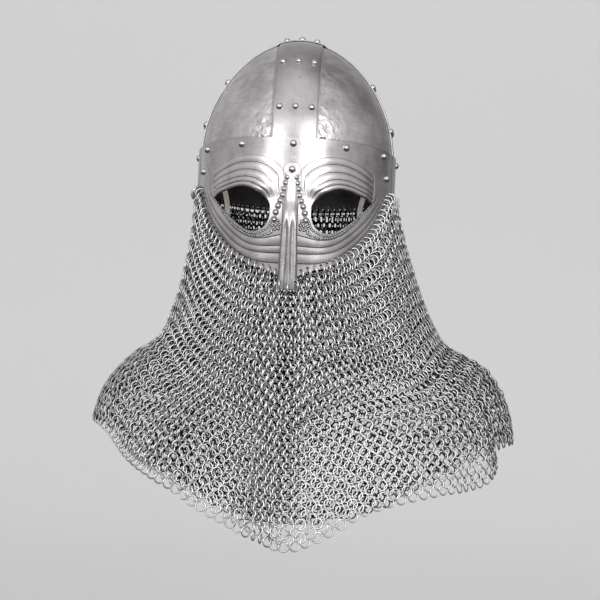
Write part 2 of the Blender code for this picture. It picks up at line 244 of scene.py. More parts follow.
def grid_faces(columns, rows, closed=False):
    """Faces of a grid of points, columns to +X seen from outside and rows upwards."""
    last = columns if closed else columns - 1
    here = np.arange(last)[:, None] * rows + np.arange(rows - 1)[None]
    beside = (np.arange(last)[:, None] + 1) % columns * rows + np.arange(rows - 1)[None]
    return np.stack([here, beside, beside + 1, here + 1], -1).reshape(-1, 4).tolist()


def applied(piece):
    """Works the piece's modifiers into a plain mesh."""
    bpy.context.view_layer.update()
    graph = bpy.context.evaluated_depsgraph_get()
    mesh = bpy.data.meshes.new_from_object(piece.evaluated_get(graph))
    piece.modifiers.clear()
    piece.data = mesh
    mesh.name = piece.name


def add_map(piece, name, values):
    """A UV map from two numbers for each point."""
    corners = np.array([loop.vertex_index for loop in piece.data.loops])
    layer = piece.data.uv_layers.new(name=name)
    layer.uv.foreach_set("vector", values.reshape(-1, 2)[corners].astype(np.float32).ravel())


def sheet_metal(name, points, material, thickness, edge=EDGE, maps=None):
    """A wall inwards from a grid of points, with its edges broken and with the given UV maps."""
    columns, rows = points.shape[:2]
    piece = new_piece(name, points, grid_faces(columns, rows), material)
    for key, values in (maps or {}).items():
        add_map(piece, key, values)
    wall = piece.modifiers.new("Thickness", "SOLIDIFY")
    wall.thickness = thickness
    wall.offset = -1.0
    wall.use_even_offset = True
    if edge:
        broken = piece.modifiers.new("Broken edge", "BEVEL")
        broken.width = edge
        broken.segments = 2
        broken.angle_limit = radians(60)
    applied(piece)
    piece.data.shade_smooth()
    piece.data.set_sharp_from_angle(angle=radians(50))
    return piece


def hammered_steel():
    """Dull steel: broad mottling, shallow dents that crowd beside the bands, a fine grain, and a painted
    shadow line along the bands' edges and above the brow.
    """
    f = Finish("hammered_steel_fine")
    x, y, z = f.axes(f.place)
    from_band, from_cross = abs(x) - BAND_WIDTH / 2, abs(y) - BAND_WIDTH / 2
    beside_band = from_band.fade(0.004, 0.034)
    beside_cross = from_cross.fade(0.002, 0.020)
    low = (z - WIDEST).fade(0.006, 0.052)
    worked = beside_band * (low * 0.85 + 0.15) + beside_cross * 0.12 + 0.10
    warp = f.add("ShaderNodeTexNoise", None, {"Vector": f.place, "Scale": 90.0, "Detail": 2.0}, "Color")
    sockets = {0: warp, 1: (0.012, 0.012, 0.012), 2: f.place}
    bent = f.add("ShaderNodeVectorMath", {"operation": "MULTIPLY_ADD"}, sockets)
    dents = f.cells(bent, 115.0, 0.25).step(0.05, 0.75)
    blows = f.cells(f.place, 48.0, 0.6)
    grain = f.noise(f.place, 900.0, 2.0, 0.6)
    mottle = f.noise(f.place, 34.0, 6.0, 0.62)
    streaks = f.noise(f.scaled(f.place, (60.0, 60.0, 260.0)), 1.0, 4.0, 0.6)
    # Painted shadow: a thin dark line along the edges of the bands and just above the brow, where they lie
    # over the plates.
    seam = from_band.fade(0.0004, 0.0022)
    seam = seam.most(from_cross.fade(0.0004, 0.0022))
    seam = seam.most((z - WIDEST).fade(0.0066, 0.0090))
    tone = mottle * 0.75 + streaks * 0.25 + worked * (dents - 0.5) * 0.10 - seam * 0.6
    colour = f.mix(tone.step(0.32, 0.68), (0.54, 0.515, 0.53), (0.88, 0.84, 0.865))
    rough = 0.42 + (mottle - 0.5) * 0.20 - worked * 0.12 + (grain - 0.5) * 0.08 + seam * 0.2
    height = worked * dents * 0.80 + blows * 0.38 + mottle * 0.14 + grain * 0.012
    return f.surface(colour, rough, height, 0.0011)


skull_steel = hammered_steel()
for quarter in range(4):
    u, v = evenly(57, 65)
    travel = CROWN_HOLE + (1.0 + PLATE_SKIRT / SKULL_HEIGHT - CROWN_HOLE) * (1.0 - v)
    middle = (quarter + 0.5) * pi / 2
    seam = np.array([sin(middle), -cos(middle), 0.0]) * PLATE_SEAM / 2**0.5
    points = skull_point((quarter + u) * pi / 2, travel) + seam
    plate = sheet_metal(f"skull_quarter_{quarter + 1}", points, skull_steel, SHEET, edge=0.0)
    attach(plate, "root")
    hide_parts(f"dome_plate_{quarter + 1}")

# ---------------------------------------------------------------------------------------------------
# Two bands of the same sheet, 47 mm wide, over the seams from brow to brow. The one from side to side
# lies over the other at the crown. They are ground smooth along their length and carry rivets in threes.
LAP_GAP = 0.0005
STRAP_LIFT = SHEET + LAP_GAP
BAND_SKIRT = 0.014
CROSSING_RAMP = 0.005


def unit(vectors):
    return vectors / np.linalg.norm(vectors, axis=-1, keepdims=True)


def outside_skull(points, lift):
    drop = (SKULL_TOP + lift - points[..., 2]) / (SKULL_HEIGHT + lift)
    spread = np.hypot(points[..., 0] / (HALF_WIDTH + lift), points[..., 1] / (HALF_LENGTH + lift))
    return (drop <= 0.0) | (spread > swell(drop))


def band_point(angle, travel, across, lift):
    """Points of a band over the crown. Travel runs from -end to end, through 0 at the crown. The way inwards
    from the band's level to the skull is halved until it is found."""
    turned = np.where(travel < 0.0, angle + pi, angle)
    travel = np.abs(travel)
    step = 0.004
    here = skull_point(turned, travel, lift)
    before = skull_point(turned, np.maximum(travel - step, 0.0), lift)
    along = skull_point(turned, travel + step, lift) - before
    outward = np.stack([np.sin(turned), -np.cos(turned), 0.0 * turned], -1)
    level = (along * outward).sum(-1, keepdims=True)
    inward = unit(outward * along[..., 2:] - np.array([0.0, 0.0, 1.0]) * level)
    start = here + np.array([cos(angle), sin(angle), 0.0]) * across[..., None]
    near = np.full(travel.shape, -0.004)
    far = np.full(travel.shape, 0.030)
    for _ in range(26):
        middle = (near + far) / 2
        out = outside_skull(start + inward * middle[..., None], lift)
        near = np.where(out, middle, near)
        far = np.where(out, far, middle)
    return start + inward * near[..., None]


def ease(value, start, end):
    """0 before start, 1 after end, smooth between them."""
    t = np.clip((value - start) / (end - start), 0.0, 1.0)
    return t * t * (3.0 - 2.0 * t)


def brushed_steel(name, along, dark, light, edge_shade_map=None):
    """Ground steel: long scratches, cloudy polish, a few darker stains and painted shade towards the foot of
    the nasal. A map of a bar's shares across and millimetres up paints shade along its edges."""
    f = Finish(name)
    scratch = f.noise(f.scaled(f.place, along), 1.0, 3.0, 0.7)
    fine = f.noise(f.scaled(f.place, tuple(3.1 * a for a in along)), 1.0, 2.0, 0.6)
    cloud = f.noise(f.place, 30.0, 5.0, 0.6)
    stain = f.noise(f.place, 75.0, 5.0, 0.65).step(0.58, 0.80)
    wave = f.noise(f.place, 17.0, 1.0, 0.4)
    # Painted shade: darker towards the foot of the nasal, the only part that reaches this low.
    low = (f.axes(f.place)[2] - WIDEST).fade(-0.145, -0.105)
    # Painted shade along the bar's edges and round its top, except along its middle stretch.
    if edge_shade_map:
        share, level = f.mapped(edge_shade_map)
        plain = abs(level + 45.0).step(13.0, 18.0)
        edge = abs(share).step(0.80, 0.97).most(level.step(-20.6, -19.2))
        low = low + edge * plain * 0.9
    tone = cloud * 0.8 + scratch * 0.3 - stain * 0.30 - low * 0.35
    colour = f.mix(tone.step(0.28, 0.72), dark, light)
    rough = 0.24 + cloud * 0.16 + (scratch - 0.5) * 0.16 + stain * 0.10 + low * 0.08
    height = scratch * 0.045 + fine * 0.03 + wave * 0.9 + cloud * 0.16
    return f.surface(colour, rough, height, 0.0007)


bands = (
    ("fore_aft_band", 0.0, 0.0, (1500.0, 60.0, 60.0)),
    ("cross_band", pi / 2, STRAP_LIFT, (60.0, 1500.0, 60.0)),
)
for name, angle, crossing_lift, along in bands:
    u, v = evenly(19, 241)
    travel = (2.0 * v - 1.0) * (1.0 + BAND_SKIRT / SKULL_HEIGHT)
    reach = HALF_WIDTH * swell(1.0 - np.cos(np.minimum(np.abs(travel), 1.0) * pi / 2))
    ramp_foot = BAND_WIDTH / 2 + 0.001
    over = 1.0 - ease(reach, ramp_foot, ramp_foot + CROSSING_RAMP)
    points = band_point(angle + pi, travel, (0.5 - u) * BAND_WIDTH, STRAP_LIFT + crossing_lift * over)
    finish = brushed_steel(f"{name}_steel", along, (0.38, 0.362, 0.372), (0.60, 0.574, 0.592))
    band = sheet_metal(f"{name}_fine", points, finish, SHEET)
    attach(band, "root")
    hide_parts(name)

# ---------------------------------------------------------------------------------------------------
# The brow hoop runs round the sides and the back, 47 mm deep. Its ends are stepped inwards and lie behind
# the ends of the face guard. A row of small holes along its lower edge takes the first rings of the mail.
GUARD_SHEET = 0.0016
WALL_LIFT = STRAP_LIFT + GUARD_SHEET + LAP_GAP
BROW_TOP = 0.006
BROW_FOOT = -0.041
GUARD_ANGLE = radians(70.0)
HOOP_END = radians(58.0)
HOOP_JOG = (radians(70.6), radians(72.6))
END_TRIM = 0.003
END_TRIM_TOP = 0.001
CHEEK_FLARE = 0.003
FLARE_LEVEL = -0.078
FLARE_REACH = 0.060
FLARE_ANGLE = radians(38.0)
RIM = (
    # degrees from the front, height of the guard's lower edge
    (0.0, -0.1370), (5.0, -0.1358), (10.0, -0.1310), (20.0, -0.1255), (33.0, -0.1135),
    (43.0, -0.0995), (51.0, -0.0860), (57.0, -0.0720), (60.5, -0.0620), (64.0, -0.0505),
    (68.0, -0.0430), (72.0, -0.0410), (76.0, -0.0410),
)
RING_COLUMNS = 112
HOLE_INSET = 0.0040
HOLE_RADIUS = 0.0012
DRILL_LENGTH = 0.016


def curve_through(rows, at):
    """Values on a smooth curve through rows, each of which starts with its key."""
    rows = np.array(rows, float)
    at = np.clip(np.asarray(at, float), rows[0, 0], rows[-1, 0])
    place = np.clip(np.searchsorted(rows[:, 0], at, "left") - 1, 0, len(rows) - 2)
    before, start = rows[np.maximum(place - 1, 0)], rows[place]
    end, after = rows[place + 1], rows[np.minimum(place + 2, len(rows) - 1)]
    span = (end - start)[..., :1]
    t = (at[..., None] - start[..., :1]) / span
    slope_in = (end - before) / (end - before)[..., :1] * span
    slope_out = (after - start) / (after - start)[..., :1] * span
    values = (2 * t**3 - 3 * t**2 + 1) * start + (t**3 - 2 * t**2 + t) * slope_in
    values += (3 * t**2 - 2 * t**3) * end + (t**3 - t**2) * slope_out
    return values[..., 1:]


def wall_point(angle, height, lift=WALL_LIFT):
    """Points of the upright wall that the hoop and the guard share, with the flare over the cheeks."""
    turn = np.minimum(np.abs(angle) / FLARE_ANGLE, 1.0)
    level = np.minimum(np.abs(height - FLARE_LEVEL) / FLARE_REACH, 1.0)
    flare = CHEEK_FLARE * np.cos(turn * pi / 2) ** 2 * np.cos(level * pi / 2) ** 2
    width = HALF_WIDTH + lift
    length = HALF_LENGTH + lift + flare
    return np.stack([width * np.sin(angle), -length * np.cos(angle), WIDEST + height], -1)


def wall_normal(angle):
    width = HALF_WIDTH + WALL_LIFT
    length = HALF_LENGTH + WALL_LIFT
    return unit(np.stack([np.sin(angle) * length, -np.cos(angle) * width, 0.0 * angle], -1))


def rim_height(angle):
    return curve_through(RIM, np.minimum(np.degrees(np.abs(angle)), RIM[-1][0]))[..., 0]


def distances(points, crowd=1.0):
    """Distance from the first point of a line to each of them, longer where its points are crowded."""
    steps = np.linalg.norm(np.diff(points, axis=0), axis=1)
    return np.concatenate([[0.0], np.cumsum(steps * crowd)])


def places_at(at, length, places):
    """Places at the given distances along a line."""
    return np.stack([np.interp(at, length, column) for column in places.T], -1)


def hole_places():
    """The angle and height of each ring's hole, evenly spaced along a line inside the lower edge."""
    angle = np.linspace(-pi, pi, 4001)
    edge = rim_height(angle)
    run = (HALF_WIDTH + HALF_LENGTH) / 2 + WALL_LIFT
    slope = np.gradient(edge, angle) / run
    inset = np.arctan(np.clip(slope, -1.6, 1.6))
    places = np.stack([angle - np.sin(inset) * HOLE_INSET / run, edge + np.cos(inset) * HOLE_INSET], -1)
    length = distances(wall_point(places[:, 0], places[:, 1]))
    return places_at(np.arange(RING_COLUMNS) / RING_COLUMNS * length[-1], length, places)


class Layout(Nodes):
    """A Geometry Nodes tree with named inputs, and the modifier that runs it."""

    def __init__(self, piece, name, sizes):
        tree = bpy.data.node_groups.new(name, "GeometryNodeTree")
        super().__init__(tree)
        tree.interface.new_socket("Geometry", in_out="INPUT", socket_type="NodeSocketGeometry")
        tree.interface.new_socket("Geometry", in_out="OUTPUT", socket_type="NodeSocketGeometry")
        for key in sizes:
            tree.interface.new_socket(key, in_out="INPUT", socket_type="NodeSocketFloat")
        given = self.add("NodeGroupInput").socket.node
        self.given = {socket.name: Number(self, socket) for socket in given.outputs if socket.name}
        self.modifier = piece.modifiers.new(name, "NODES")
        self.modifier.node_group = tree
        for item in tree.interface.items_tree:
            if item.name in sizes:
                self.modifier[item.identifier] = sizes[item.name]

    def own(self, name, kind="FLOAT"):
        sockets = {"Name": name}
        return self.add("GeometryNodeInputNamedAttribute", {"data_type": kind}, sockets, "Attribute")

    def set_on(self, points, shape, primary, secondary=None, **sockets):
        """Sets the shape on each point, turned to the directions that the point itself carries."""
        axes = {"Primary Axis": self.own(primary, "FLOAT_VECTOR")}
        if secondary:
            axes["Secondary Axis"] = self.own(secondary, "FLOAT_VECTOR")
        turned = self.add("FunctionNodeAxesToRotation", None, axes)
        sockets = {"Points": points, "Instance": shape, "Rotation": turned, **sockets}
        return self.add("GeometryNodeInstanceOnPoints", None, sockets)

    def finish(self, geometry, material):
        """Realises the instances, sets the material and ends the tree."""
        geometry = self.add("GeometryNodeRealizeInstances", None, {"Geometry": geometry})
        geometry = self.add("GeometryNodeSetMaterial", None, {"Geometry": geometry, "Material": material})
        self.add("NodeGroupOutput", None, {0: geometry})


def cloud_of_points(name, points, layers):
    """A mesh of loose points that carry directions and numbers for a layout to read."""
    mesh = bpy.data.meshes.new(name)
    mesh.from_pydata(np.asarray(points).tolist(), [], [])
    for key, values in layers.items():
        values = np.asarray(values, np.float32)
        kind = "FLOAT_VECTOR" if values.ndim == 2 else "FLOAT"
        layer = mesh.attributes.new(key, kind, "POINT")
        layer.data.foreach_set("vector" if values.ndim == 2 else "value", values.ravel())
    cloud = bpy.data.objects.new(name, mesh)
    bpy.context.scene.collection.objects.link(cloud)
    return cloud


def drilled(piece, material, angle, height):
    """Drills the ring holes through a wall with a layout that sets a drill on each point."""
    points = wall_point(angle, height)
    drills = cloud_of_points("drills", points, {"outward": wall_normal(angle)})
    layout = Layout(piece, "Ring holes", {"Hole radius": HOLE_RADIUS, "Hole depth": DRILL_LENGTH})
    sockets = {"Vertices": 10, "Radius": layout.given["Hole radius"], "Depth": layout.given["Hole depth"]}
    drill = layout.add("GeometryNodeMeshCylinder", None, sockets)
    places = layout.add("GeometryNodeObjectInfo", None, {"Object": drills}, "Geometry")
    bits = layout.set_on(places, drill, "outward")
    bits = layout.add("GeometryNodeRealizeInstances", None, {"Geometry": bits})
    settings = {"operation": "DIFFERENCE", "solver": "MANIFOLD"}
    sockets = {"Mesh 1": layout.given["Geometry"], "Mesh 2": bits}
    layout.finish(layout.add("GeometryNodeMeshBoolean", settings, sockets), material)
    applied(piece)
    bpy.data.objects.remove(drills, do_unlink=True)


round_head = (50.0, 50.0, 1300.0)
hoop_steel = brushed_steel("brow_hoop_steel", round_head, (0.40, 0.382, 0.392), (0.60, 0.574, 0.590))
u, v = evenly(289, 11)
angle = HOOP_END + (2 * pi - 2 * HOOP_END) * u
jog = 1.0 - ease(np.minimum(angle, 2 * pi - angle), *HOOP_JOG)
height = BROW_FOOT + (BROW_TOP - BROW_FOOT) * v
height += (END_TRIM - (END_TRIM + END_TRIM_TOP) * v) * jog
points = wall_point(angle, height, WALL_LIFT - (GUARD_SHEET + LAP_GAP) * jog)
hoop = sheet_metal("brow_hoop", points, hoop_steel, SHEET)
holes = hole_places()
behind = np.abs(holes[:, 0]) > HOOP_JOG[1]
drilled(hoop, hoop_steel, holes[behind, 0], holes[behind, 1])
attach(hoop, "root")
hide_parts("brow_band")

# ---------------------------------------------------------------------------------------------------
# The face guard is one plate of 1.6 mm steel, bent to the brow and pierced for the eyes. It is embossed
# from behind with five ridged arches over each eye and three flutes under it, and its lines are then
# cut sharp with a chisel from the front. The lower edge is drilled for the mail.
EYE = (
    # round one eye opening from its outer corner: degrees from the front, height
    (49.8, -0.0530), (44.0, -0.0498), (38.0, -0.0472), (30.5, -0.0442),
    (24.5, -0.0446), (18.0, -0.0502), (13.8, -0.0566), (11.5, -0.0632),
    (11.3, -0.0698), (11.7, -0.0770), (13.3, -0.0838), (16.6, -0.0888),
    (20.8, -0.0904), (26.6, -0.0872), (36.8, -0.0740), (43.8, -0.0632),
)
ARCHES = (
    # from the temple to the inner corner of the eye: a point of the top line, and of the eye's upper edge
    (50.4, -0.0245, 49.8, -0.0530), (44.5, -0.0190, 44.5, -0.0500), (36.0, -0.0135, 38.0, -0.0472),
    (29.0, -0.0108, 32.5, -0.0448), (23.0, -0.0105, 27.5, -0.0440), (17.0, -0.0118, 23.5, -0.0452),
    (11.0, -0.0160, 20.0, -0.0480), (7.0, -0.0215, 17.5, -0.0508), (4.9, -0.0270, 15.6, -0.0536),
    (4.8, -0.0335, 14.0, -0.0564), (5.0, -0.0405, 13.0, -0.0587), (5.6, -0.0475, 12.2, -0.0609),
    (6.9, -0.0540, 11.7, -0.0627), (8.9, -0.0615, 11.4, -0.0660), (11.0, -0.0695, 11.3, -0.0698),
)
ARCH_SHARES = (0.0, 0.24, 0.475, 0.70, 0.86, 1.0)
FLUTES = (
    # lines under the eye, from the temple to the nasal: one that bounds the punched border, then three more
    ((60.0, -0.0155), (55.6, -0.0265), (56.0, -0.0380), (54.5, -0.0450), (50.8, -0.0530), (45.0, -0.0630),
     (38.0, -0.0770), (31.6, -0.0875), (25.6, -0.0940), (19.8, -0.0972), (14.0, -0.0975), (8.5, -0.0956),
     (0.0, -0.0925)),
    ((60.5, -0.0340), (58.0, -0.0440), (55.0, -0.0535), (48.0, -0.0683), (39.0, -0.0833), (32.0, -0.0933),
     (26.0, -0.1005), (20.0, -0.1043), (14.0, -0.1055), (6.0, -0.1052), (0.0, -0.1045)),
    ((63.5, -0.0360), (60.0, -0.0480), (56.0, -0.0585), (47.5, -0.0765), (39.0, -0.0908), (32.0, -0.1012),
     (26.0, -0.1074), (20.0, -0.1110), (12.0, -0.1126), (6.0, -0.1128), (0.0, -0.1125)),
    ((66.5, -0.0380), (62.0, -0.0520), (57.5, -0.0615), (51.0, -0.0770), (42.0, -0.0925), (35.0, -0.1045),
     (26.0, -0.1153), (20.0, -0.1198), (14.0, -0.1222), (6.0, -0.1230), (0.0, -0.1230)),
)
TEMPLE_STRIP = ((50.6, -0.0200), (50.6, -0.0270), (51.0, -0.0390), (50.3, -0.0500), (50.0, -0.0560))
BEADS = (
    # the large beads beside the nose: degrees from the front, height
    (2.35, -0.0352), (3.10, -0.0411), (3.80, -0.0473), (4.60, -0.0537),
    (5.70, -0.0595), (6.90, -0.0651), (7.90, -0.0717), (8.60, -0.0790),
)
CORNER_BEADS = (
    # the small ones below them
    (6.4, -0.0802), (5.7, -0.0842), (7.6, -0.0846), (9.6, -0.0850),
    (5.9, -0.0884), (7.9, -0.0889), (9.9, -0.0892),
)
CORNER_BEAD_SIZE = 0.52
BEAD_SPACING = 0.0028
BEAD_ROWS = (0.36, 0.78)
BEAD_SIZES = ((0.0, 0.3, 0.9), (0.45, 0.38, 0.27))
PAST_LINES = 0.45
PLAIN_PITCH = 0.006
RELIEF_RISE = 0.0012
ARCH_RELIEF = 0.0006
ARCH_SWELL = 0.0034
FLUTE_RELIEF = 0.00026
STRIP_RELIEF = 0.0006
BEHIND_BAR = radians(5.8)


def unrolled(turn, height):
    """Places on the wall as distances round it and up it, for degrees from the front and heights."""
    fine = np.radians(np.linspace(0.0, 80.0, 801))
    pace = np.hypot((HALF_WIDTH + WALL_LIFT) * np.cos(fine), (HALF_LENGTH + WALL_LIFT) * np.sin(fine))
    around = np.concatenate([[0.0], np.cumsum((pace[1:] + pace[:-1]) / 2 * np.diff(fine))])
    return np.stack([np.interp(np.radians(turn), fine, around), height + 0.0 * turn], -1)


def traced(rows, steps=8):
    """A smooth line through rows of degrees and height, unrolled."""
    keyed = [(i, *row) for i, row in enumerate(rows)]
    turn, height = curve_through(keyed, np.arange((len(rows) - 1) * steps + 1) / steps).T
    return unrolled(turn, height)


def beside(places, line):
    """Distance of places from a line, positive on its left."""
    start, run = line[:-1], np.diff(line, axis=0)
    nearest = np.full(places.shape[:-1], 1.0)
    side = np.zeros(places.shape[:-1])
    for a, r in zip(start, run):
        away = places - a
        t = np.clip((away @ r) / (r @ r), 0.0, 1.0)
        gap = np.linalg.norm(away - t[..., None] * r, axis=-1)
        left = np.sign(r[0] * away[..., 1] - r[1] * away[..., 0])
        side = np.where(gap < nearest, left, side)
        nearest = np.minimum(gap, nearest)
    return nearest * np.where(side == 0.0, 1.0, side)


def ranks(gaps):
    """Where places lie among lines in order: 0 on the first, 1 on the second, and the gap between two."""
    gaps = np.stack(gaps)
    passed = np.clip((gaps > 0.0).sum(0), 1, len(gaps) - 1)
    before = np.take_along_axis(gaps, passed[None] - 1, 0)[0]
    after = np.take_along_axis(gaps, passed[None], 0)[0]
    width = np.maximum(before - after, 0.0004)
    return np.clip(passed - 1 + before / width, -PAST_LINES, len(gaps) - 1 + PAST_LINES), width


def tube_faces(rings, count):
    """Faces of a tube of rings, each of count points, and of its two ends."""
    here = np.arange(rings - 1)[:, None] * count + np.arange(count)
    beside_it = np.arange(rings - 1)[:, None] * count + (np.arange(count) + 1) % count
    walls = np.stack([here, beside_it, beside_it + count, here + count], -1)
    last = (rings - 1) * count
    return walls.reshape(-1, 4).tolist() + [list(range(count))[::-1], list(range(last, last + count))]


def eye_edge(side, steps=6):
    keyed = [(i, *row) for i, row in enumerate(EYE + EYE[:1])]
    turn, height = curve_through(keyed, np.arange((len(keyed) - 1) * steps) / steps).T
    return side * np.radians(turn), height


def rounded(rank):
    """1 half-way between two lines, 0 on them."""
    return 1.0 - (2.0 * (rank - np.floor(rank)) - 1.0) ** 2


def bead_places():
    """Unrolled places and sizes of the beads on one side: beside the nose, then two rows below the eye."""
    eye_low = traced(EYE[8:] + EYE[:1])
    border = traced(FLUTES[0])[::-1]
    length = distances(eye_low)
    spots = [unrolled(*np.array(BEADS).T), unrolled(*np.array(CORNER_BEADS).T)]
    sizes = [np.ones(len(BEADS)), np.full(len(CORNER_BEADS), CORNER_BEAD_SIZE)]
    for row, share in enumerate(BEAD_ROWS):
        at = np.arange(BEAD_SPACING * (0.5 + 0.5 * row), length[-1] * 0.93, BEAD_SPACING)
        inner = places_at(at, length, eye_low)
        gaps = np.linalg.norm(inner[:, None] - border[None], axis=-1)
        spots.append(inner + (border[gaps.argmin(1)] - inner) * share)
        sizes.append(np.interp(at / length[-1], *BEAD_SIZES))
    return np.concatenate(spots), np.concatenate(sizes)


bead_spots, bead_sizes = bead_places()


def embossing(angle, height):
    """How far the guard is raised, and its line maps: ranks among lines with the gap between them."""
    places = unrolled(np.degrees(np.abs(angle)), height)
    upper, lower = np.array(ARCHES)[:, :2], np.array(ARCHES)[:, 2:]
    arches = [beside(places, traced(upper + (lower - upper) * share)) for share in ARCH_SHARES]
    strip = beside(places, traced(TEMPLE_STRIP))
    rank, pitch = ranks(arches)
    over_eye = np.clip(arches[0] / RELIEF_RISE, 0.0, 1.0) * np.clip(-strip / 0.0010, 0.0, 1.0)
    over_eye *= np.clip((0.0004 - arches[-1]) / RELIEF_RISE, 0.0, 1.0)
    raised = ARCH_RELIEF * over_eye * rounded(rank) * np.minimum(pitch / 0.005, 1.0)
    swelling = ease(rank, 0.0, 4.0) * ease(-strip, -0.001, 0.016) * ease(-arches[-1], -0.0030, 0.0)
    swelling *= ease(arches[0] - arches[-1], 0.008, 0.027)
    raised += ARCH_SWELL * swelling
    rank = -PAST_LINES + (rank + PAST_LINES) * over_eye
    pitch = PLAIN_PITCH + (pitch - PLAIN_PITCH) * over_eye
    flutes = [beside(places, traced(line)) for line in FLUTES]
    flute, flute_pitch = ranks(flutes)
    under_eye = ((flute > 0.0) & (flute < 3.0)) * ease(-height, 0.036, 0.052)
    raised += FLUTE_RELIEF * under_eye * rounded(flute) * np.minimum(flute_pitch / 0.006, 1.0)
    on_strip = ease(strip, 0.0, RELIEF_RISE) * ease(-flutes[0], 0.0, RELIEF_RISE)
    raised += STRIP_RELIEF * on_strip * ease(-height, 0.020, 0.028) * ease(height, -0.056, -0.050)
    bead = (np.linalg.norm(places[..., None, :] - bead_spots, axis=-1) / bead_sizes).min(-1)
    bosses = np.stack([np.clip(strip, -0.004, 0.004), np.minimum(bead, 0.008)], -1)
    return raised, {
        "arch_lines": np.stack([rank, pitch * 1000.0], -1),
        "flute_lines": np.stack([flute, flute_pitch * 1000.0], -1),
        "boss_lines": bosses * 1000.0,
    }


def guard_steel_finish():
    """Polished steel, with painted shade in its chiselled lines, painted highlights on its ridges, and
    scratches round the head.
    """
    f = Finish("guard_steel_fine")
    scratch = f.noise(f.scaled(f.place, (70.0, 70.0, 1100.0)), 1.0, 3.0, 0.7)
    cloud = f.noise(f.place, 36.0, 5.0, 0.6)
    wave = f.noise(f.place, 15.0, 1.0, 0.4)
    stain = f.noise(f.place, 110.0, 4.0, 0.65).step(0.55, 0.80)
    x, _, z = f.axes(f.place)
    height = z - WIDEST

    def from_lines(rank, pitch):
        return rank.math("PINGPONG", 0.5) * pitch

    rank, pitch = f.mapped("arch_lines")
    flute, flute_pitch = f.mapped("flute_lines")
    strip, bead = f.mapped("boss_lines")
    inner = abs(x).fade(0.022, 0.036)
    lost = inner * rank.step(1.3, 1.7)
    lost = lost.most(inner * rank.step(0.3, 0.7) * height.fade(-0.052, -0.044))
    # The chiselled lines are grooves in the relief, and their dark colour is painted shade.
    arch_groove_and_shade = from_lines(rank, pitch).fade(0.06, 0.42) * (1.0 - lost)
    flute_groove_and_shade = from_lines(flute, flute_pitch).fade(0.14, 0.62)
    flute_groove_and_shade = flute_groove_and_shade * (1.0 - height.step(-0.044, -0.036) * flute.step(0.3, 0.6))
    strip_groove_and_shade = abs(strip).fade(0.10, 0.45) * height.fade(-0.027, -0.025)
    # Painted shadow: a dark ring round the foot of each bead, also sunk a little in the relief.
    bead_ring_groove_and_shadow = abs(bead - 2.7).fade(0.2, 0.9)
    cut = arch_groove_and_shade.most(flute_groove_and_shade * 0.8)
    cut = cut.most(strip_groove_and_shade).most(bead_ring_groove_and_shadow * 0.7)
    # Painted highlight: each band between two lines is brighter along its crown.
    ridge_highlight = from_lines(rank, 1.0) * rank.step(-0.1, 0.1) + from_lines(flute, 1.0) * flute.step(-0.1, 0.1)
    # Painted shade: the plate darkens towards its foot and, low down, beside the nasal bar.
    low = height.fade(-0.105, -0.055)
    shade_beside_bar = low * abs(x).fade(0.010, 0.030)
    tone = cloud * 0.8 + scratch * 0.3 - stain * 0.25 + ridge_highlight * 0.35 - low * 0.20 - shade_beside_bar * 0.50
    steel = f.mix(tone.step(0.10, 0.90), (0.33, 0.315, 0.323), (0.75, 0.715, 0.733))
    # Painted shade: the chiselled lines and the rings round the beads darken to near black.
    colour = f.mix(cut * 0.80, steel, (0.07, 0.07, 0.075))
    rough = 0.22 + cloud * 0.16 + (scratch - 0.5) * 0.14 + stain * 0.10 + low * 0.05 + cut * 0.25
    relief = scratch * 0.04 + wave * 0.8 + cloud * 0.12 - cut * 0.75
    return f.surface(colour, rough, relief, 0.0007)


guard_steel = guard_steel_finish()
u, v = evenly(265, 111)
angle = GUARD_ANGLE * (2.0 * u - 1.0)
foot = rim_height(angle)
height = foot + (BROW_TOP - foot) * v
raised, maps = embossing(angle, height)
points = wall_point(angle, height) + wall_normal(angle) * raised[..., None]
guard = sheet_metal("face_guard", points, guard_steel, GUARD_SHEET, edge=0.0, maps=maps)
cutters = []
for side in (-1, 1):
    turn, level = eye_edge(side)
    outline = wall_point(turn, level)[:: side]
    rings = [outline * (share, share, 1.0) for share in (0.80, 1.20)]
    cutter = new_piece("eye_cutter", np.concatenate(rings), tube_faces(2, len(outline)), guard_steel)
    cutters.append(cutter)
    cut = guard.modifiers.new("Eye", "BOOLEAN")
    cut.operation = "DIFFERENCE"
    cut.solver = "MANIFOLD"
    cut.object = cutter
applied(guard)
for cutter in cutters:
    bpy.data.objects.remove(cutter, do_unlink=True)
in_guard = (np.abs(holes[:, 0]) < GUARD_ANGLE - 0.01) & (np.abs(holes[:, 0]) > BEHIND_BAR)
drilled(guard, guard_steel, holes[in_guard, 0], holes[in_guard, 1])
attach(guard, "root")
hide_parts("spectacle_guard")

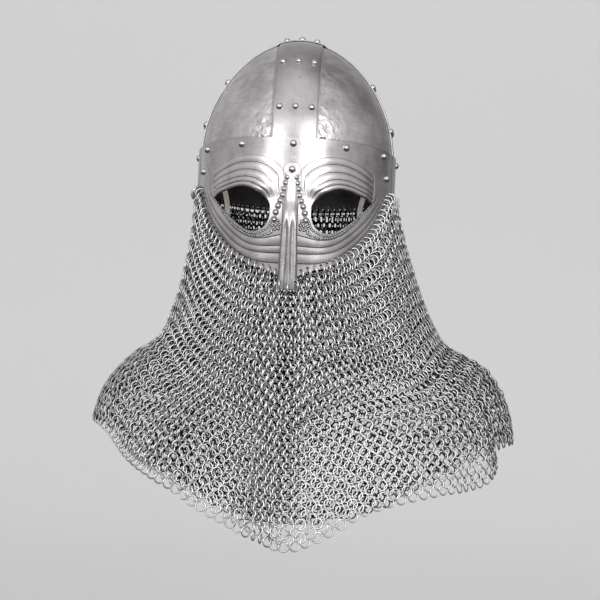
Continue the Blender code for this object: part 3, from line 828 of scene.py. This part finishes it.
# ---------------------------------------------------------------------------------------------------
# The nasal is a bar of thicker steel with a round top, held to the guard by one rivet. It swells down the
# nose, smooth at first, and its lower half is fluted with two valleys that start in points.
NASAL = (
    # height, half its width, how far its edges stand off, how far its middle is raised, share that is raised
    (-0.0186, 0.0012, -0.0019, 0.0000, 1.00),
    (-0.0196, 0.0050, -0.0019, 0.0000, 1.00),
    (-0.0224, 0.0082, -0.0019, 0.0000, 1.00),
    (-0.0272, 0.0094, -0.0020, 0.0002, 1.00),
    (-0.0318, 0.0095, -0.0025, 0.0004, 0.80),
    (-0.0350, 0.0095, -0.0031, 0.0010, 0.66),
    (-0.0410, 0.0095, -0.0032, 0.0018, 0.74),
    (-0.0472, 0.0095, -0.0032, 0.0024, 0.84),
    (-0.0536, 0.0094, -0.0031, 0.0029, 0.92),
    (-0.0600, 0.0088, -0.0026, 0.0032, 1.00),
    (-0.0660, 0.0081, -0.0006, 0.0031, 1.00),
    (-0.0720, 0.0078, 0.0016, 0.0029, 1.00),
    (-0.0800, 0.0077, 0.0030, 0.0028, 1.00),
    (-0.0950, 0.0079, 0.0032, 0.0026, 1.00),
    (-0.1150, 0.0086, 0.0030, 0.0026, 1.00),
    (-0.1350, 0.0094, 0.0026, 0.0026, 1.00),
    (-0.1430, 0.0096, 0.0026, 0.0024, 1.00),
    (-0.1495, 0.0091, 0.0024, 0.0022, 1.00),
)
NASAL_SHEET = 0.0022
FLUTES_START = (0.0735, 0.0900)
FLUTES_SINK = (0.118, 0.142)
VALLEY = 0.0016
VALLEY_PLACE = 0.40
RIB = 0.0004
FOOT_HOLES = ((-4.2, -0.1412), (0.0, -0.1445), (4.2, -0.1412))
FOOT_HALF_WIDTH = 0.0094


def nasal_point(share, depth):
    """Points of the nasal's outer face. Share -1 and 1 are its edges, and depth is measured downwards."""
    rows = [(-row[0], *row[1:]) for row in NASAL]
    half, stand, raised, part = np.moveaxis(curve_through(rows, depth), -1, 0)
    crown = raised * (1.0 - np.minimum(np.abs(share) / part, 1.0) ** 3) ** (2.0 - ease(depth, 0.060, 0.072))
    fluted = ease(depth, *FLUTES_START) * (1.0 - 0.6 * ease(depth, *FLUTES_SINK))
    spread = 0.09 + 0.11 * fluted
    for side in (-1, 1):
        crown = crown - VALLEY * fluted * np.exp(-(((share - VALLEY_PLACE * side) / spread) ** 2))
    ribs = np.exp(-((share / 0.2) ** 2)) + np.exp(-(((np.abs(share) - 0.80) / 0.12) ** 2))
    crown += RIB * fluted * ribs
    angle = share * half / (HALF_WIDTH + WALL_LIFT)
    lift = LAP_GAP + NASAL_SHEET + stand + crown
    return wall_point(angle, -depth) + wall_normal(angle) * lift[..., None]


down_nose = (1100.0, 60.0, 50.0)
dark, light = (0.34, 0.326, 0.334), (0.78, 0.745, 0.766)
nasal_steel = brushed_steel("nasal_steel", down_nose, dark, light, "nasal_place")
u, v = evenly(41, 151, -1.0)
top, foot = -NASAL[0][0], -NASAL[-1][0]
depth = foot + (top - foot) * v**1.4
maps = {"nasal_place": np.stack([u, -1000.0 * depth], -1)}
nasal = sheet_metal("nasal", nasal_point(u, depth), nasal_steel, NASAL_SHEET, maps=maps)
drilled(nasal, nasal_steel, *np.array([(radians(turn), height) for turn, height in FOOT_HOLES]).T)
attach(nasal, "root")
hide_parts("nasal_bar")

# ---------------------------------------------------------------------------------------------------
# Domed rivets hold the skull together: a ring of them round the brow, and threes across the bands. Each is
# a steel pin hammered over into a bright low head.
RIVET_RADIUS = 0.0036
RIVET_HEIGHT = 0.0031
RIVET_SEAT = 0.0002
BROW_RIVETS = 12
CHEEK_RIVET = (64.5, -0.0225)
NASAL_RIVET_LEVEL = -0.0268
NASAL_RIVET_SEAT = LAP_GAP + NASAL_SHEET - 0.0018
ROW_SPACING = 0.0165
CROWN_ROW = ROW_SPACING / (HALF_LENGTH * pi / 2 * 0.93)
BAND_ROWS = (
    # side of the skull, its angle, heights of its rows
    ("front", 0.0, (0.0400, 0.0945)),
    ("right", pi / 2, (0.0350, 0.0830)),
    ("back", pi, (0.0400, 0.0945)),
    ("left", -pi / 2, (0.0350, 0.0830)),
)


def travel_at(height, lift):
    """Travel on the skull at which it has this height."""
    drop = (SKULL_TOP + lift - (WIDEST + height)) / (SKULL_HEIGHT + lift)
    return np.arccos(1.0 - drop) * 2 / pi


def row_of_rivets(angle, travel, lift):
    """Three rivets across a band: their places, and the directions that they point in."""
    across = np.array([-1.0, 0.0, 1.0]) * ROW_SPACING
    travel = np.full(3, travel)
    here = band_point(angle, travel, across, lift)
    near = band_point(angle, travel, across + 0.1 * ROW_SPACING, lift)
    below = band_point(angle, travel + 0.01, across, lift)
    return here, unit(np.cross(below - here, near - here))


def domed_heads(piece, material, sizes):
    """A layout that sets a domed head on each point, pointing outwards, sized by the point's own scale."""
    layout = Layout(piece, "Domed heads", sizes)
    ball = layout.add("GeometryNodeMeshUVSphere", None, {"Segments": 16, "Rings": 10, "Radius": 1.0})
    ball = layout.add("GeometryNodeSetShadeSmooth", None, {"Geometry": ball})
    sockets = {0: layout.given["Radius"], 1: layout.given["Radius"], 2: layout.given["Height"]}
    flat = layout.add("ShaderNodeCombineXYZ", None, sockets)
    head = layout.add("GeometryNodeTransform", None, {"Geometry": ball, "Scale": flat})
    heads = layout.set_on(layout.given["Geometry"], head, "outward", Scale=layout.own("size"))
    layout.finish(heads, material)
    applied(piece)


def rivet_steel_finish():
    """Bright hammered heads, a little uneven in tone."""
    f = Finish("rivet_steel_fine")
    cloud = f.noise(f.place, 420.0, 3.0, 0.6)
    wear = f.noise(f.place, 120.0, 3.0, 0.6)
    colour = f.mix((cloud * 0.6 + wear * 0.4).step(0.32, 0.66), (0.50, 0.50, 0.515), (0.72, 0.72, 0.73))
    rough = 0.16 + cloud * 0.16 + wear * 0.06
    return f.surface(colour, rough, cloud * 0.5 + wear * 0.5, 0.0005)


angle = np.arange(BROW_RIVETS) * 2 * pi / BROW_RIVETS
places, outward = [wall_point(angle, 0.0 * angle)], [wall_normal(angle)]
names = [f"brow_rivet_{i + 1}" for i in range(BROW_RIVETS)]
angle = np.radians(np.array([-CHEEK_RIVET[0], CHEEK_RIVET[0]]))
places.append(wall_point(angle, np.full(2, CHEEK_RIVET[1])))
outward.append(wall_normal(angle))
names += ["cheek_rivet_left", "cheek_rivet_right"]
ahead = wall_normal(np.zeros(1))
places.append(wall_point(np.zeros(1), np.full(1, NASAL_RIVET_LEVEL)) + ahead * NASAL_RIVET_SEAT)
outward.append(ahead)
names.append("nasal_rivet")
for side, angle, levels in BAND_ROWS:
    rows = [(str(i + 1), travel_at(level, STRAP_LIFT), STRAP_LIFT) for i, level in enumerate(levels)]
    if side in ("front", "back"):
        rows.append(("crown", CROWN_ROW, 2 * STRAP_LIFT))
    for row, travel, lift in rows:
        here, out = row_of_rivets(angle, travel, lift)
        places.append(here)
        outward.append(out)
        names += [f"{side}_rivet_{row}_{i + 1}" for i in range(3)]
places, outward = np.concatenate(places), np.concatenate(outward)
luck = np.random.default_rng(5)
sizes = luck.uniform(0.95, 1.05, len(places))
rivets = cloud_of_points("rivets", places + outward * RIVET_SEAT, {"outward": outward, "size": sizes})
rivet_steel = rivet_steel_finish()
domed_heads(rivets, rivet_steel, {"Radius": RIVET_RADIUS, "Height": RIVET_HEIGHT})
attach(rivets, "root")
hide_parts(*names)

# ---------------------------------------------------------------------------------------------------
# Punched beads: eight large ones down each side of the nose, and rows of small ones below the eye, which
# thin out towards the temple. Each is a dimple driven through the guard from behind with a round punch.
BEAD_RADIUS = 0.0024
BEAD_HEIGHT = 0.0019

fine = np.linspace(0.0, 75.0, 601)
turn = np.interp(bead_spots[:, 0], unrolled(fine, 0.0)[:, 0], fine)
places, outward = [], []
for side in (-1, 1):
    angle, height = side * np.radians(turn), bead_spots[:, 1]
    out = wall_normal(angle)
    places.append(wall_point(angle, height) + out * embossing(angle, height)[0][:, None])
    outward.append(out)
places, outward, sizes = np.concatenate(places), np.concatenate(outward), np.tile(bead_sizes, 2)
beads = cloud_of_points("beads", places, {"outward": outward, "size": sizes})
domed_heads(beads, rivet_steel, {"Radius": BEAD_RADIUS, "Height": BEAD_HEIGHT})
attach(beads, "root")

# ---------------------------------------------------------------------------------------------------
# The mail: some 6,700 rings of 1.6 mm wire, woven four-in-one, in rows that lean by turns to either side. The
# first row hangs from the holes, and all of it spreads over the shoulders. Its places follow a rule, by which
# most rings go through four others, but their wires also cut into each other.
MAIL_LEVELS = (
    # share of the way down, reach to the left, right, front and back, share of the fall at sides and front
    (0.00, 0.1072, 0.1090, 0.1250, 0.1250, 0.000, 0.000),
    (0.17, 0.1103, 0.1224, 0.1275, 0.1190, 0.193, 0.175),
    (0.35, 0.1188, 0.1412, 0.1290, 0.1110, 0.395, 0.360),
    (0.45, 0.1268, 0.1540, 0.1300, 0.1090, 0.507, 0.460),
    (0.54, 0.1345, 0.1695, 0.1310, 0.1100, 0.598, 0.550),
    (0.60, 0.1430, 0.1890, 0.1330, 0.1150, 0.640, 0.612),
    (0.70, 0.1680, 0.2135, 0.1370, 0.1270, 0.702, 0.712),
    (0.85, 0.1965, 0.2335, 0.1450, 0.1400, 0.836, 0.855),
    (1.00, 0.2090, 0.2410, 0.1520, 0.1500, 1.000, 1.000),
    (1.38, 0.2110, 0.2420, 0.1540, 0.1520, 1.380, 1.380),
)
HEM = (
    # degrees from the front, height of the lowest rings
    (-180.0, -0.3100), (-135.0, -0.3020), (-90.0, -0.2910), (-63.0, -0.3000),
    (-45.0, -0.3320), (-24.0, -0.3700), (-7.0, -0.3980), (2.0, -0.4100),
    (10.0, -0.4000), (23.0, -0.3690), (42.0, -0.3510), (56.0, -0.3440),
    (67.0, -0.3260), (82.0, -0.2990), (120.0, -0.3020), (180.0, -0.3100),
)
FOLDS = (
    # degrees from the front, half its width in degrees, how far it stands out
    (-44.0, 13.0, 0.004), (-30.0, 8.0, -0.004), (-8.0, 4.5, 0.005), (-2.5, 4.0, -0.004),
    (4.0, 4.5, 0.005), (62.0, 9.0, 0.006), (74.0, 8.0, -0.011), (86.0, 9.0, 0.005),
)
BUNCHES = (
    # degrees from the front, half its width in degrees, how much closer the columns hang there
    (-46.0, 12.0, 0.55), (-3.0, 8.0, 0.45), (57.0, 16.0, 0.50), (76.0, 7.0, 0.90),
)
BUNCH_START = (0.25, 0.80)
FOLD_START = 0.45
BACK_START = radians(96)
BACK_LENGTH = 0.38
LAP_START = radians(98)
LAP_DEPTH = 0.0075
MAIL_TOP_GAP = 0.0022
NASAL_NOTCH = (5.2, 9.8, -0.1525)
RING_ROWS = 39
FIRST_ROW = 0.022
LAST_ROW = 0.982
HEM_SHARE = 0.99
RING_RADIUS = 0.0052
WIRE = 0.0016
STEEPEST_LEAN = radians(46)
UNEVEN_TURN = 0.0010
UNEVEN_SHARE = 0.0004
UNEVEN_TILT = radians(1.5)
FIRST_RISE = 0.0008
FIRST_OUT = 0.0012
FIRST_TURN = radians(70)
FIRST_SWING = radians(14)
FIRST_UNEVEN = radians(6)


def mail_point(angle, share):
    """Points half-way through the mail. Share 0 is its rim and 1 its hem."""
    turn = np.degrees(angle)
    left, right, front, back, side_fall, front_fall = np.moveaxis(curve_through(MAIL_LEVELS, share), -1, 0)
    notch = 1.0 - ease(np.abs(turn), NASAL_NOTCH[0], NASAL_NOTCH[1])
    top = rim_height(angle) - MAIL_TOP_GAP
    top = top + (NASAL_NOTCH[2] - top) * notch
    hem = curve_through(HEM, turn)[..., 0]
    side = np.sin(angle) ** 2
    fall = side_fall * side + front_fall * (1.0 - side)
    fold = 0.0 * angle
    for at, half_width, height in FOLDS:
        fold += height * np.cos(np.minimum(np.abs(turn - at) / half_width, 1.0) * pi / 2) ** 2
    fold *= ease(share, FOLD_START, 1.0)
    width = np.where(angle > 0.0, right, left) + fold
    length = np.where(np.abs(turn) < 90.0, front, back) + fold
    height = top + (hem - top) * fall
    return np.stack([width * np.sin(angle), -length * np.cos(angle), WIDEST + height], -1)


def spaced(share, count, shift):
    """Angles of the rings of one row: evenly round it, closer in the bunches, from the back to the front."""
    angle = np.linspace(-pi, pi, 2401)
    turn = np.degrees(angle[1:] + angle[:-1]) / 2
    crowd = 1.0 + 0.0 * turn
    for at, half_width, more in BUNCHES:
        crowd += more * ease(share, *BUNCH_START) * np.exp(-(((turn - at) / half_width) ** 2))
    length = distances(mail_point(angle, np.full(angle.shape, share)), crowd)
    middle = np.interp(0.0, angle, length)
    at = (np.arange(count) + shift) / count * 2.0
    at = np.where(at < 1.0, at * middle, middle + (at - 1.0) * (length[-1] - middle))
    return np.interp(at, length, angle)


luck = np.random.default_rng(11)
row_step = (LAST_ROW - FIRST_ROW) / (RING_ROWS - 2)
rows = np.arange(1, RING_ROWS + round(BACK_LENGTH / row_step))
shares = FIRST_ROW + row_step * (rows - 1)
angle = np.stack([spaced(share, RING_COLUMNS, 0.5 * (row % 2)) for row, share in zip(rows, shares)])
share = np.repeat(shares[:, None], RING_COLUMNS, 1)
angle += luck.normal(0.0, UNEVEN_TURN, angle.shape)
share += luck.normal(0.0, UNEVEN_SHARE, angle.shape)
centres = mail_point(angle, share)
down = unit(mail_point(angle, share + 0.004) - mail_point(angle, share - 0.004))
along = unit(mail_point(angle + 0.004, share) - mail_point(angle - 0.004, share))
out = unit(np.cross(down, along))
across = np.cross(out, down)

# A ring leans more where its neighbours are closer, within limits.
apart = np.linalg.norm(np.roll(centres, -1, 1) - np.roll(centres, 1, 1), axis=-1) / 2
drop = np.linalg.norm(centres[2:] - centres[:-2], axis=-1) / 2
drop = np.concatenate([drop[:1], drop, drop[-1:]])
wide, narrow = RING_RADIUS**2, (RING_RADIUS - WIRE) ** 2
reach = (drop**2 + wide - narrow) / (2 * drop)
play = np.sqrt(np.clip(wide - reach**2, 1e-6, None))
lean = np.arccos(np.clip(apart / (4 * play), 0.62, 1.0))
hand = np.where(rows % 2 == 0, 1.0, -1.0)[:, None]
lean = np.clip(lean, np.arcsin(np.clip(WIRE / apart, 0.0, 0.9)), STEEPEST_LEAN)
lean += luck.normal(0.0, UNEVEN_TILT, lean.shape)
facing = out * np.cos(lean)[..., None] + across * (np.sin(lean) * hand)[..., None]
tip = luck.normal(0.0, UNEVEN_TILT, lean.shape)
facing = unit(facing + down * np.sin(tip)[..., None])

# The first row hangs from the holes of the guard and the hoop, nearly edge-on.
hole_points = wall_point(holes[:, 0], holes[:, 1])
hole_out = wall_normal(holes[:, 0])
over_nose = np.abs(holes[:, 0]) < BEHIND_BAR
turn, height = np.array(FOOT_HOLES).T
hole_points[over_nose] = nasal_point(np.radians(turn) * (HALF_WIDTH + WALL_LIFT) / FOOT_HALF_WIDTH, -height)
hang = np.array([0.0, 0.0, -1.0])
first_centres = hole_points + hang * (RING_RADIUS - FIRST_RISE) + hole_out * FIRST_OUT
turned = FIRST_TURN - FIRST_SWING * np.sin(holes[:, 0]) + luck.normal(0.0, FIRST_UNEVEN, len(holes))
hole_along = np.cross(hole_out, hang)
first_facing = hole_out * np.cos(turned)[:, None] - hole_along * np.sin(turned)[:, None]

# The back hangs lower than the sides, and a second layer of rings lies inside it, where the mail laps.
kept = share < HEM_SHARE + BACK_LENGTH * ease(np.abs(angle), BACK_START, pi)
lapped = kept & (np.abs(angle) > LAP_START)
under = (centres + np.roll(centres, -1, 1)) / 2 - out * LAP_DEPTH
under_facing = facing - 2 * across * (facing * across).sum(-1, keepdims=True)
all_centres = np.concatenate([first_centres, centres[kept], under[lapped]])
all_facing = np.concatenate([first_facing, facing[kept], under_facing[lapped]])
all_down = np.concatenate([np.repeat(hang[None], len(holes), 0), down[kept], down[lapped]])
tone = luck.uniform(0.0, 1.0, len(all_centres))


def mail_steel_finish():
    """Bright wire, each ring of its own tone, a little darker and rougher in random patches of grime, and
    painted near black as shade on the sides that face into the curtain.
    """
    f = Finish("mail_wire", 0.9)
    own = f.own("tone")
    outer = f.own("outer")
    grime = f.noise(f.place, 260.0, 4.0, 0.6)
    patches = f.noise(f.place, 26.0, 3.0, 0.5)
    tone = own * 0.45 + grime * 0.35 + patches * 0.45
    clean = f.mix(tone.step(0.30, 0.85), (0.94, 0.93, 0.94), (1.0, 0.99, 1.0))
    # Painted shade: the sides of the wire that face into the curtain are near black, standing in for the
    # shade inside the mail.
    colour = f.mix(outer.step(-0.15, 0.40), (0.03, 0.029, 0.029), clean)
    rough = 0.27 + grime * 0.12 + outer.fade(-0.20, 0.35) * 0.25
    return f.surface(colour, rough, grime, 0.0001)


def mail_piece(name, chosen, material, segments, sides):
    """A layout that sets a ring on each chosen point, and marks how far its surface looks outwards, for the
    painted shade on the wire's inner sides.
    """
    layers = {"facing": all_facing[chosen], "down": all_down[chosen], "tone": tone[chosen]}
    piece = cloud_of_points(name, all_centres[chosen], layers)
    layout = Layout(piece, "Linked rings", {"Ring radius": RING_RADIUS, "Wire radius": WIRE / 2})
    sockets = {"Resolution": segments, "Radius": layout.given["Ring radius"]}
    circle = layout.add("GeometryNodeCurvePrimitiveCircle", None, sockets)
    sockets = {"Resolution": sides, "Radius": layout.given["Wire radius"]}
    wire = layout.add("GeometryNodeCurvePrimitiveCircle", None, sockets)
    ring = layout.add("GeometryNodeCurveToMesh", None, {"Curve": circle, "Profile Curve": wire})
    ring = layout.add("GeometryNodeSetShadeSmooth", None, {"Geometry": ring})
    rings = layout.set_on(layout.given["Geometry"], ring, "facing", "down")
    rings = layout.add("GeometryNodeRealizeInstances", None, {"Geometry": rings})
    level = layout.scaled(layout.add("GeometryNodeInputPosition"), (1.0, 1.0, 0.0))
    outward = layout.add("ShaderNodeVectorMath", {"operation": "NORMALIZE"}, {0: level})
    sockets = {0: layout.add("GeometryNodeInputNormal"), 1: outward}
    outer = layout.add("ShaderNodeVectorMath", {"operation": "DOT_PRODUCT"}, sockets, "Value")
    sockets = {"Geometry": rings, "Name": "outer", "Value": outer}
    rings = layout.add("GeometryNodeStoreNamedAttribute", {"data_type": "FLOAT", "domain": "POINT"}, sockets)
    layout.finish(rings, material)
    applied(piece)
    return piece


mail_steel = mail_steel_finish()
in_front = all_centres[:, 1] < 0.0
on_left = all_centres[:, 0] < 0.0
inner_lap = np.arange(len(all_centres)) >= len(all_centres) - lapped.sum()
for name, chosen, segments, sides in (
    ("mail_front_left", in_front & on_left, 14, 4),
    ("mail_front_right", in_front & ~on_left, 14, 4),
    ("mail_back_left", ~in_front & on_left & ~inner_lap, 12, 4),
    ("mail_back_right", ~in_front & ~on_left & ~inner_lap, 12, 4),
    ("mail_lap_left", inner_lap & on_left, 10, 3),
    ("mail_lap_right", inner_lap & ~on_left, 10, 3),
):
    part = mail_piece(name, chosen, mail_steel, segments, sides)
    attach(part, "root")
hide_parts("mail_curtain")

# ---------------------------------------------------------------------------------------------------
# The chin strap: pale cotton webbing, 9.5 mm wide, fixed inside the ends of the guard. It runs down the
# cheeks, where it shows through the eye openings, and under the chin.
STRAP_ROUTE = (
    # half its spread, depth, height, down one side to the middle
    (0.0895, -0.0460, -0.0230), (0.0770, -0.0495, -0.0360), (0.0715, -0.0520, -0.0520),
    (0.0698, -0.0535, -0.0700), (0.0680, -0.0570, -0.1000), (0.0635, -0.0625, -0.1330),
    (0.0510, -0.0700, -0.1660), (0.0290, -0.0760, -0.1860), (0.0000, -0.0780, -0.1920),
)
STRAP_WIDTH = 0.0095
STRAP_THICKNESS = 0.0024
STRAP_TWIST = radians(24)
WEAVE_LENGTH = 0.56

along = np.linspace(-1.0, 1.0, 301)
half = [(i, *row) for i, row in enumerate(STRAP_ROUTE)]
middle = curve_through(half, (len(half) - 1) * (1.0 - np.abs(along)))
middle[:, 0] *= np.where(along > 0.0, 1.0, -1.0)
middle[:, 2] += WIDEST
run = unit(np.gradient(middle, axis=0))
side = unit(np.array([0.0, 1.0, 0.0]) - run * run[:, 1:2])
outward = np.cross(side, run)
twist = STRAP_TWIST * np.sin(along * pi * 0.5) * ease(np.abs(along), 0.05, 0.5)
side, outward = (
    side * np.cos(twist)[:, None] + outward * np.sin(twist)[:, None],
    outward * np.cos(twist)[:, None] - side * np.sin(twist)[:, None],
)
corner = np.linspace(0, 2 * pi, 17)[:-1]
section_x = np.sign(np.cos(corner)) * np.abs(np.cos(corner)) ** 0.35 * STRAP_WIDTH / 2
section_y = np.sign(np.sin(corner)) * np.abs(np.sin(corner)) ** 0.55 * STRAP_THICKNESS / 2
ripple = 1.0 + 0.02 * np.sin(along * 90.0)
ring = middle[:, None] + side[:, None] * section_x[None, :, None] * ripple[:, None, None]
ring = ring + outward[:, None] * section_y[None, :, None]


def webbing():
    """Off-white cotton, woven in fine slanted ribs, grubby along its edges, with painted shade under the chin
    and a faint painted glow elsewhere.
    """
    f = Finish("strap_webbing", 0.0)
    x, y = f.mapped("along_strap")
    warp = (x * 12.0).math("PINGPONG", 0.5) * 2.0
    weft = (y * 420.0 + x * 6.0).math("PINGPONG", 0.5) * 2.0
    dirt = f.noise(f.place, 140.0, 4.0, 0.6)
    worn = (abs(x - 0.5) * 2.0).step(0.6, 1.0)
    shade_under_chin = (f.axes(f.place)[2] - WIDEST).fade(-0.150, -0.105)
    shade = dirt * 0.7 + warp * 0.12 + weft * 0.16 - worn * 0.2
    clean = f.mix(shade.step(0.20, 0.75), (0.84, 0.78, 0.68), (0.97, 0.94, 0.88))
    # Painted shade: the strap turns dark under the chin, and its painted glow fades out there.
    colour = f.mix(shade_under_chin, clean, (0.16, 0.14, 0.12))
    # Painted light: a faint cream glow, though the strap is no lamp, brightens it where it shows inside the
    # helmet.
    f.shade("Emission Color", f.mix(shade_under_chin, (1.0, 0.95, 0.86), (0.02, 0.02, 0.02)))
    f.shade("Emission Strength", 0.16)
    return f.surface(colour, 0.75 + dirt * 0.2, warp * 0.5 + weft * 0.5, 0.0004)


strap = new_piece("chin_strap_webbing", ring, tube_faces(len(along), len(corner)), webbing())
lengthwise = np.arange(len(along))[:, None] / (len(along) - 1) * WEAVE_LENGTH
add_map(strap, "along_strap", np.stack(np.broadcast_arrays(section_x / STRAP_WIDTH + 0.5, lengthwise), -1))
strap.data.set_sharp_from_angle(angle=radians(60))
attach(strap, "root")
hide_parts("chin_strap")

# ---------------------------------------------------------------------------------------------------
# A plain studio: a pale floor that curves up all round and shines a little, a tent of soft light that is
# brightest in front and dims towards the sides and the ground, and two tall soft panels beside the camera.
CAMERA_PLACE = (0.0672, -1.6952, -0.3884)
YAW, PITCH, ROLL = radians(1.95), radians(3.65), radians(2.53)
LENS = 93.2
FLOOR_DROP = 0.25
FLAT_REACH = 2.6
BEND_RADIUS = 1.2
WALL_TOP = 4.5
FLOOR_SIDES = 64
TENT_STRENGTH = 4.0
TENT_ROUND = (
    # degrees from the front, towards -X first, and how bright the tent is there
    (-180, 0.66), (-140, 0.56), (-120, 0.50), (-100, 0.62), (-72, 0.64), (-52, 0.78),
    (-40, 1.10), (-16, 1.30), (0, 1.25), (40, 1.15), (52, 0.78), (72, 0.62),
    (95, 0.50), (115, 0.24), (135, 0.18), (160, 0.46), (180, 0.66),
)
TENT_UP = (
    # degrees above the horizon, and the share of that brightness
    (-90, 0.07), (-40, 0.09), (-20, 0.20), (-6, 0.46), (8, 0.96), (28, 0.98),
    (50, 0.76), (70, 0.82), (90, 0.98),
)

ahead = Vector((-sin(YAW), cos(YAW), 0.0))
across = Vector((cos(YAW), sin(YAW), 0.0))
up = Vector((0.0, 0.0, 1.0))
look = ahead * cos(PITCH) + up * sin(PITCH)
over = up * cos(PITCH) - ahead * sin(PITCH)
right = across * cos(ROLL) + over * sin(ROLL)
above = over * cos(ROLL) - across * sin(ROLL)
lens = bpy.data.cameras.new("camera")
lens.lens = LENS
lens.sensor_width = 36.0
camera = bpy.data.objects.new("camera", lens)
turn = Matrix((right, above, -look)).transposed().to_4x4()
camera.matrix_world = Matrix.Translation(CAMERA_PLACE) @ turn
bpy.context.scene.collection.objects.link(camera)
bpy.context.scene.camera = camera
bpy.context.scene.view_settings.view_transform = "Standard"


def soft_panel(name, place, width, height, radiance):
    """An upright panel of the given brightness that faces the helmet."""
    lamp = bpy.data.lights.new(name, "AREA")
    lamp.shape = "RECTANGLE"
    lamp.size, lamp.size_y = width, height
    lamp.energy = radiance * pi * width * height
    item = bpy.data.objects.new(name, lamp)
    away = Vector((place[0], place[1], 0.0))
    item.matrix_world = Matrix.Translation(place) @ away.to_track_quat("Z", "Y").to_matrix().to_4x4()
    bpy.context.scene.collection.objects.link(item)


soft_panel("left_panel", (-0.92, -1.95, 0.47), 0.70, 1.15, 2.6)
soft_panel("right_panel", (0.81, -1.95, 0.47), 1.13, 1.15, 2.9)

world = bpy.data.worlds.new("tent")
world.use_nodes = True
tent = Nodes(world.node_tree)
x, y, z = tent.axes(tent.add("ShaderNodeTexCoord", output="Generated"))


def brightness(angle, rows):
    """The tent's brightness, halved, over an angle that runs as far as the rows do."""
    low, high = radians(rows[0][0]), radians(rows[-1][0])
    stops = [((radians(turn) - low) / (high - low), bright / 2) for turn, bright in rows]
    return tent.add("ShaderNodeValToRGB", {"stops": stops}, {"Fac": (angle - low) / (high - low)})


sideways = brightness(x.math("ARCTAN2", -1.0 * y), TENT_ROUND)
upwards = brightness(z.math("ARCSINE"), TENT_UP)
background = world.node_tree.nodes["Background"]
tent.put(background.inputs["Color"], tent.scaled(sideways, upwards))
tent.put(background.inputs["Strength"], TENT_STRENGTH)
bpy.context.scene.world = world


def studio_floor_finish():
    """Matt pale paint that shines a little by itself."""
    f = Finish("studio_floor", 0.0)
    f.shade("Base Color", (0.82, 0.82, 0.82, 1.0))
    f.shade("Roughness", 0.95)
    f.shade("Emission Color", (1.0, 1.0, 1.0, 1.0))
    f.shade("Emission Strength", 0.07)
    return f.material


floor_level = cad_bounds[0][2] - FLOOR_DROP
bend = np.linspace(0, pi / 2, 13)
curve = FLAT_REACH + BEND_RADIUS * np.sin(bend)
reach = np.concatenate([[0.02, 1.0, 2.0], curve, curve[-1:]])[::-1]
rise = np.concatenate([[0.0, 0.0, 0.0], BEND_RADIUS * (1.0 - np.cos(bend)), [WALL_TOP]])[::-1]
round_it = np.linspace(0, 2 * pi, FLOOR_SIDES + 1)[:-1, None]
bowl = np.stack([reach * np.cos(round_it), reach * np.sin(round_it), floor_level + rise + 0.0 * round_it], -1)
middle_ring = [(i + 1) * len(reach) - 1 for i in range(FLOOR_SIDES)]
faces = grid_faces(FLOOR_SIDES, len(reach), closed=True) + [middle_ring]
floor = new_piece("studio_floor", bowl, faces, studio_floor_finish())
floor.visible_glossy = False
floor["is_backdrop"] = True

visual_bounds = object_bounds()
sizes = {"cad": [list(corner) for corner in cad_bounds], "visual": [list(corner) for corner in visual_bounds]}
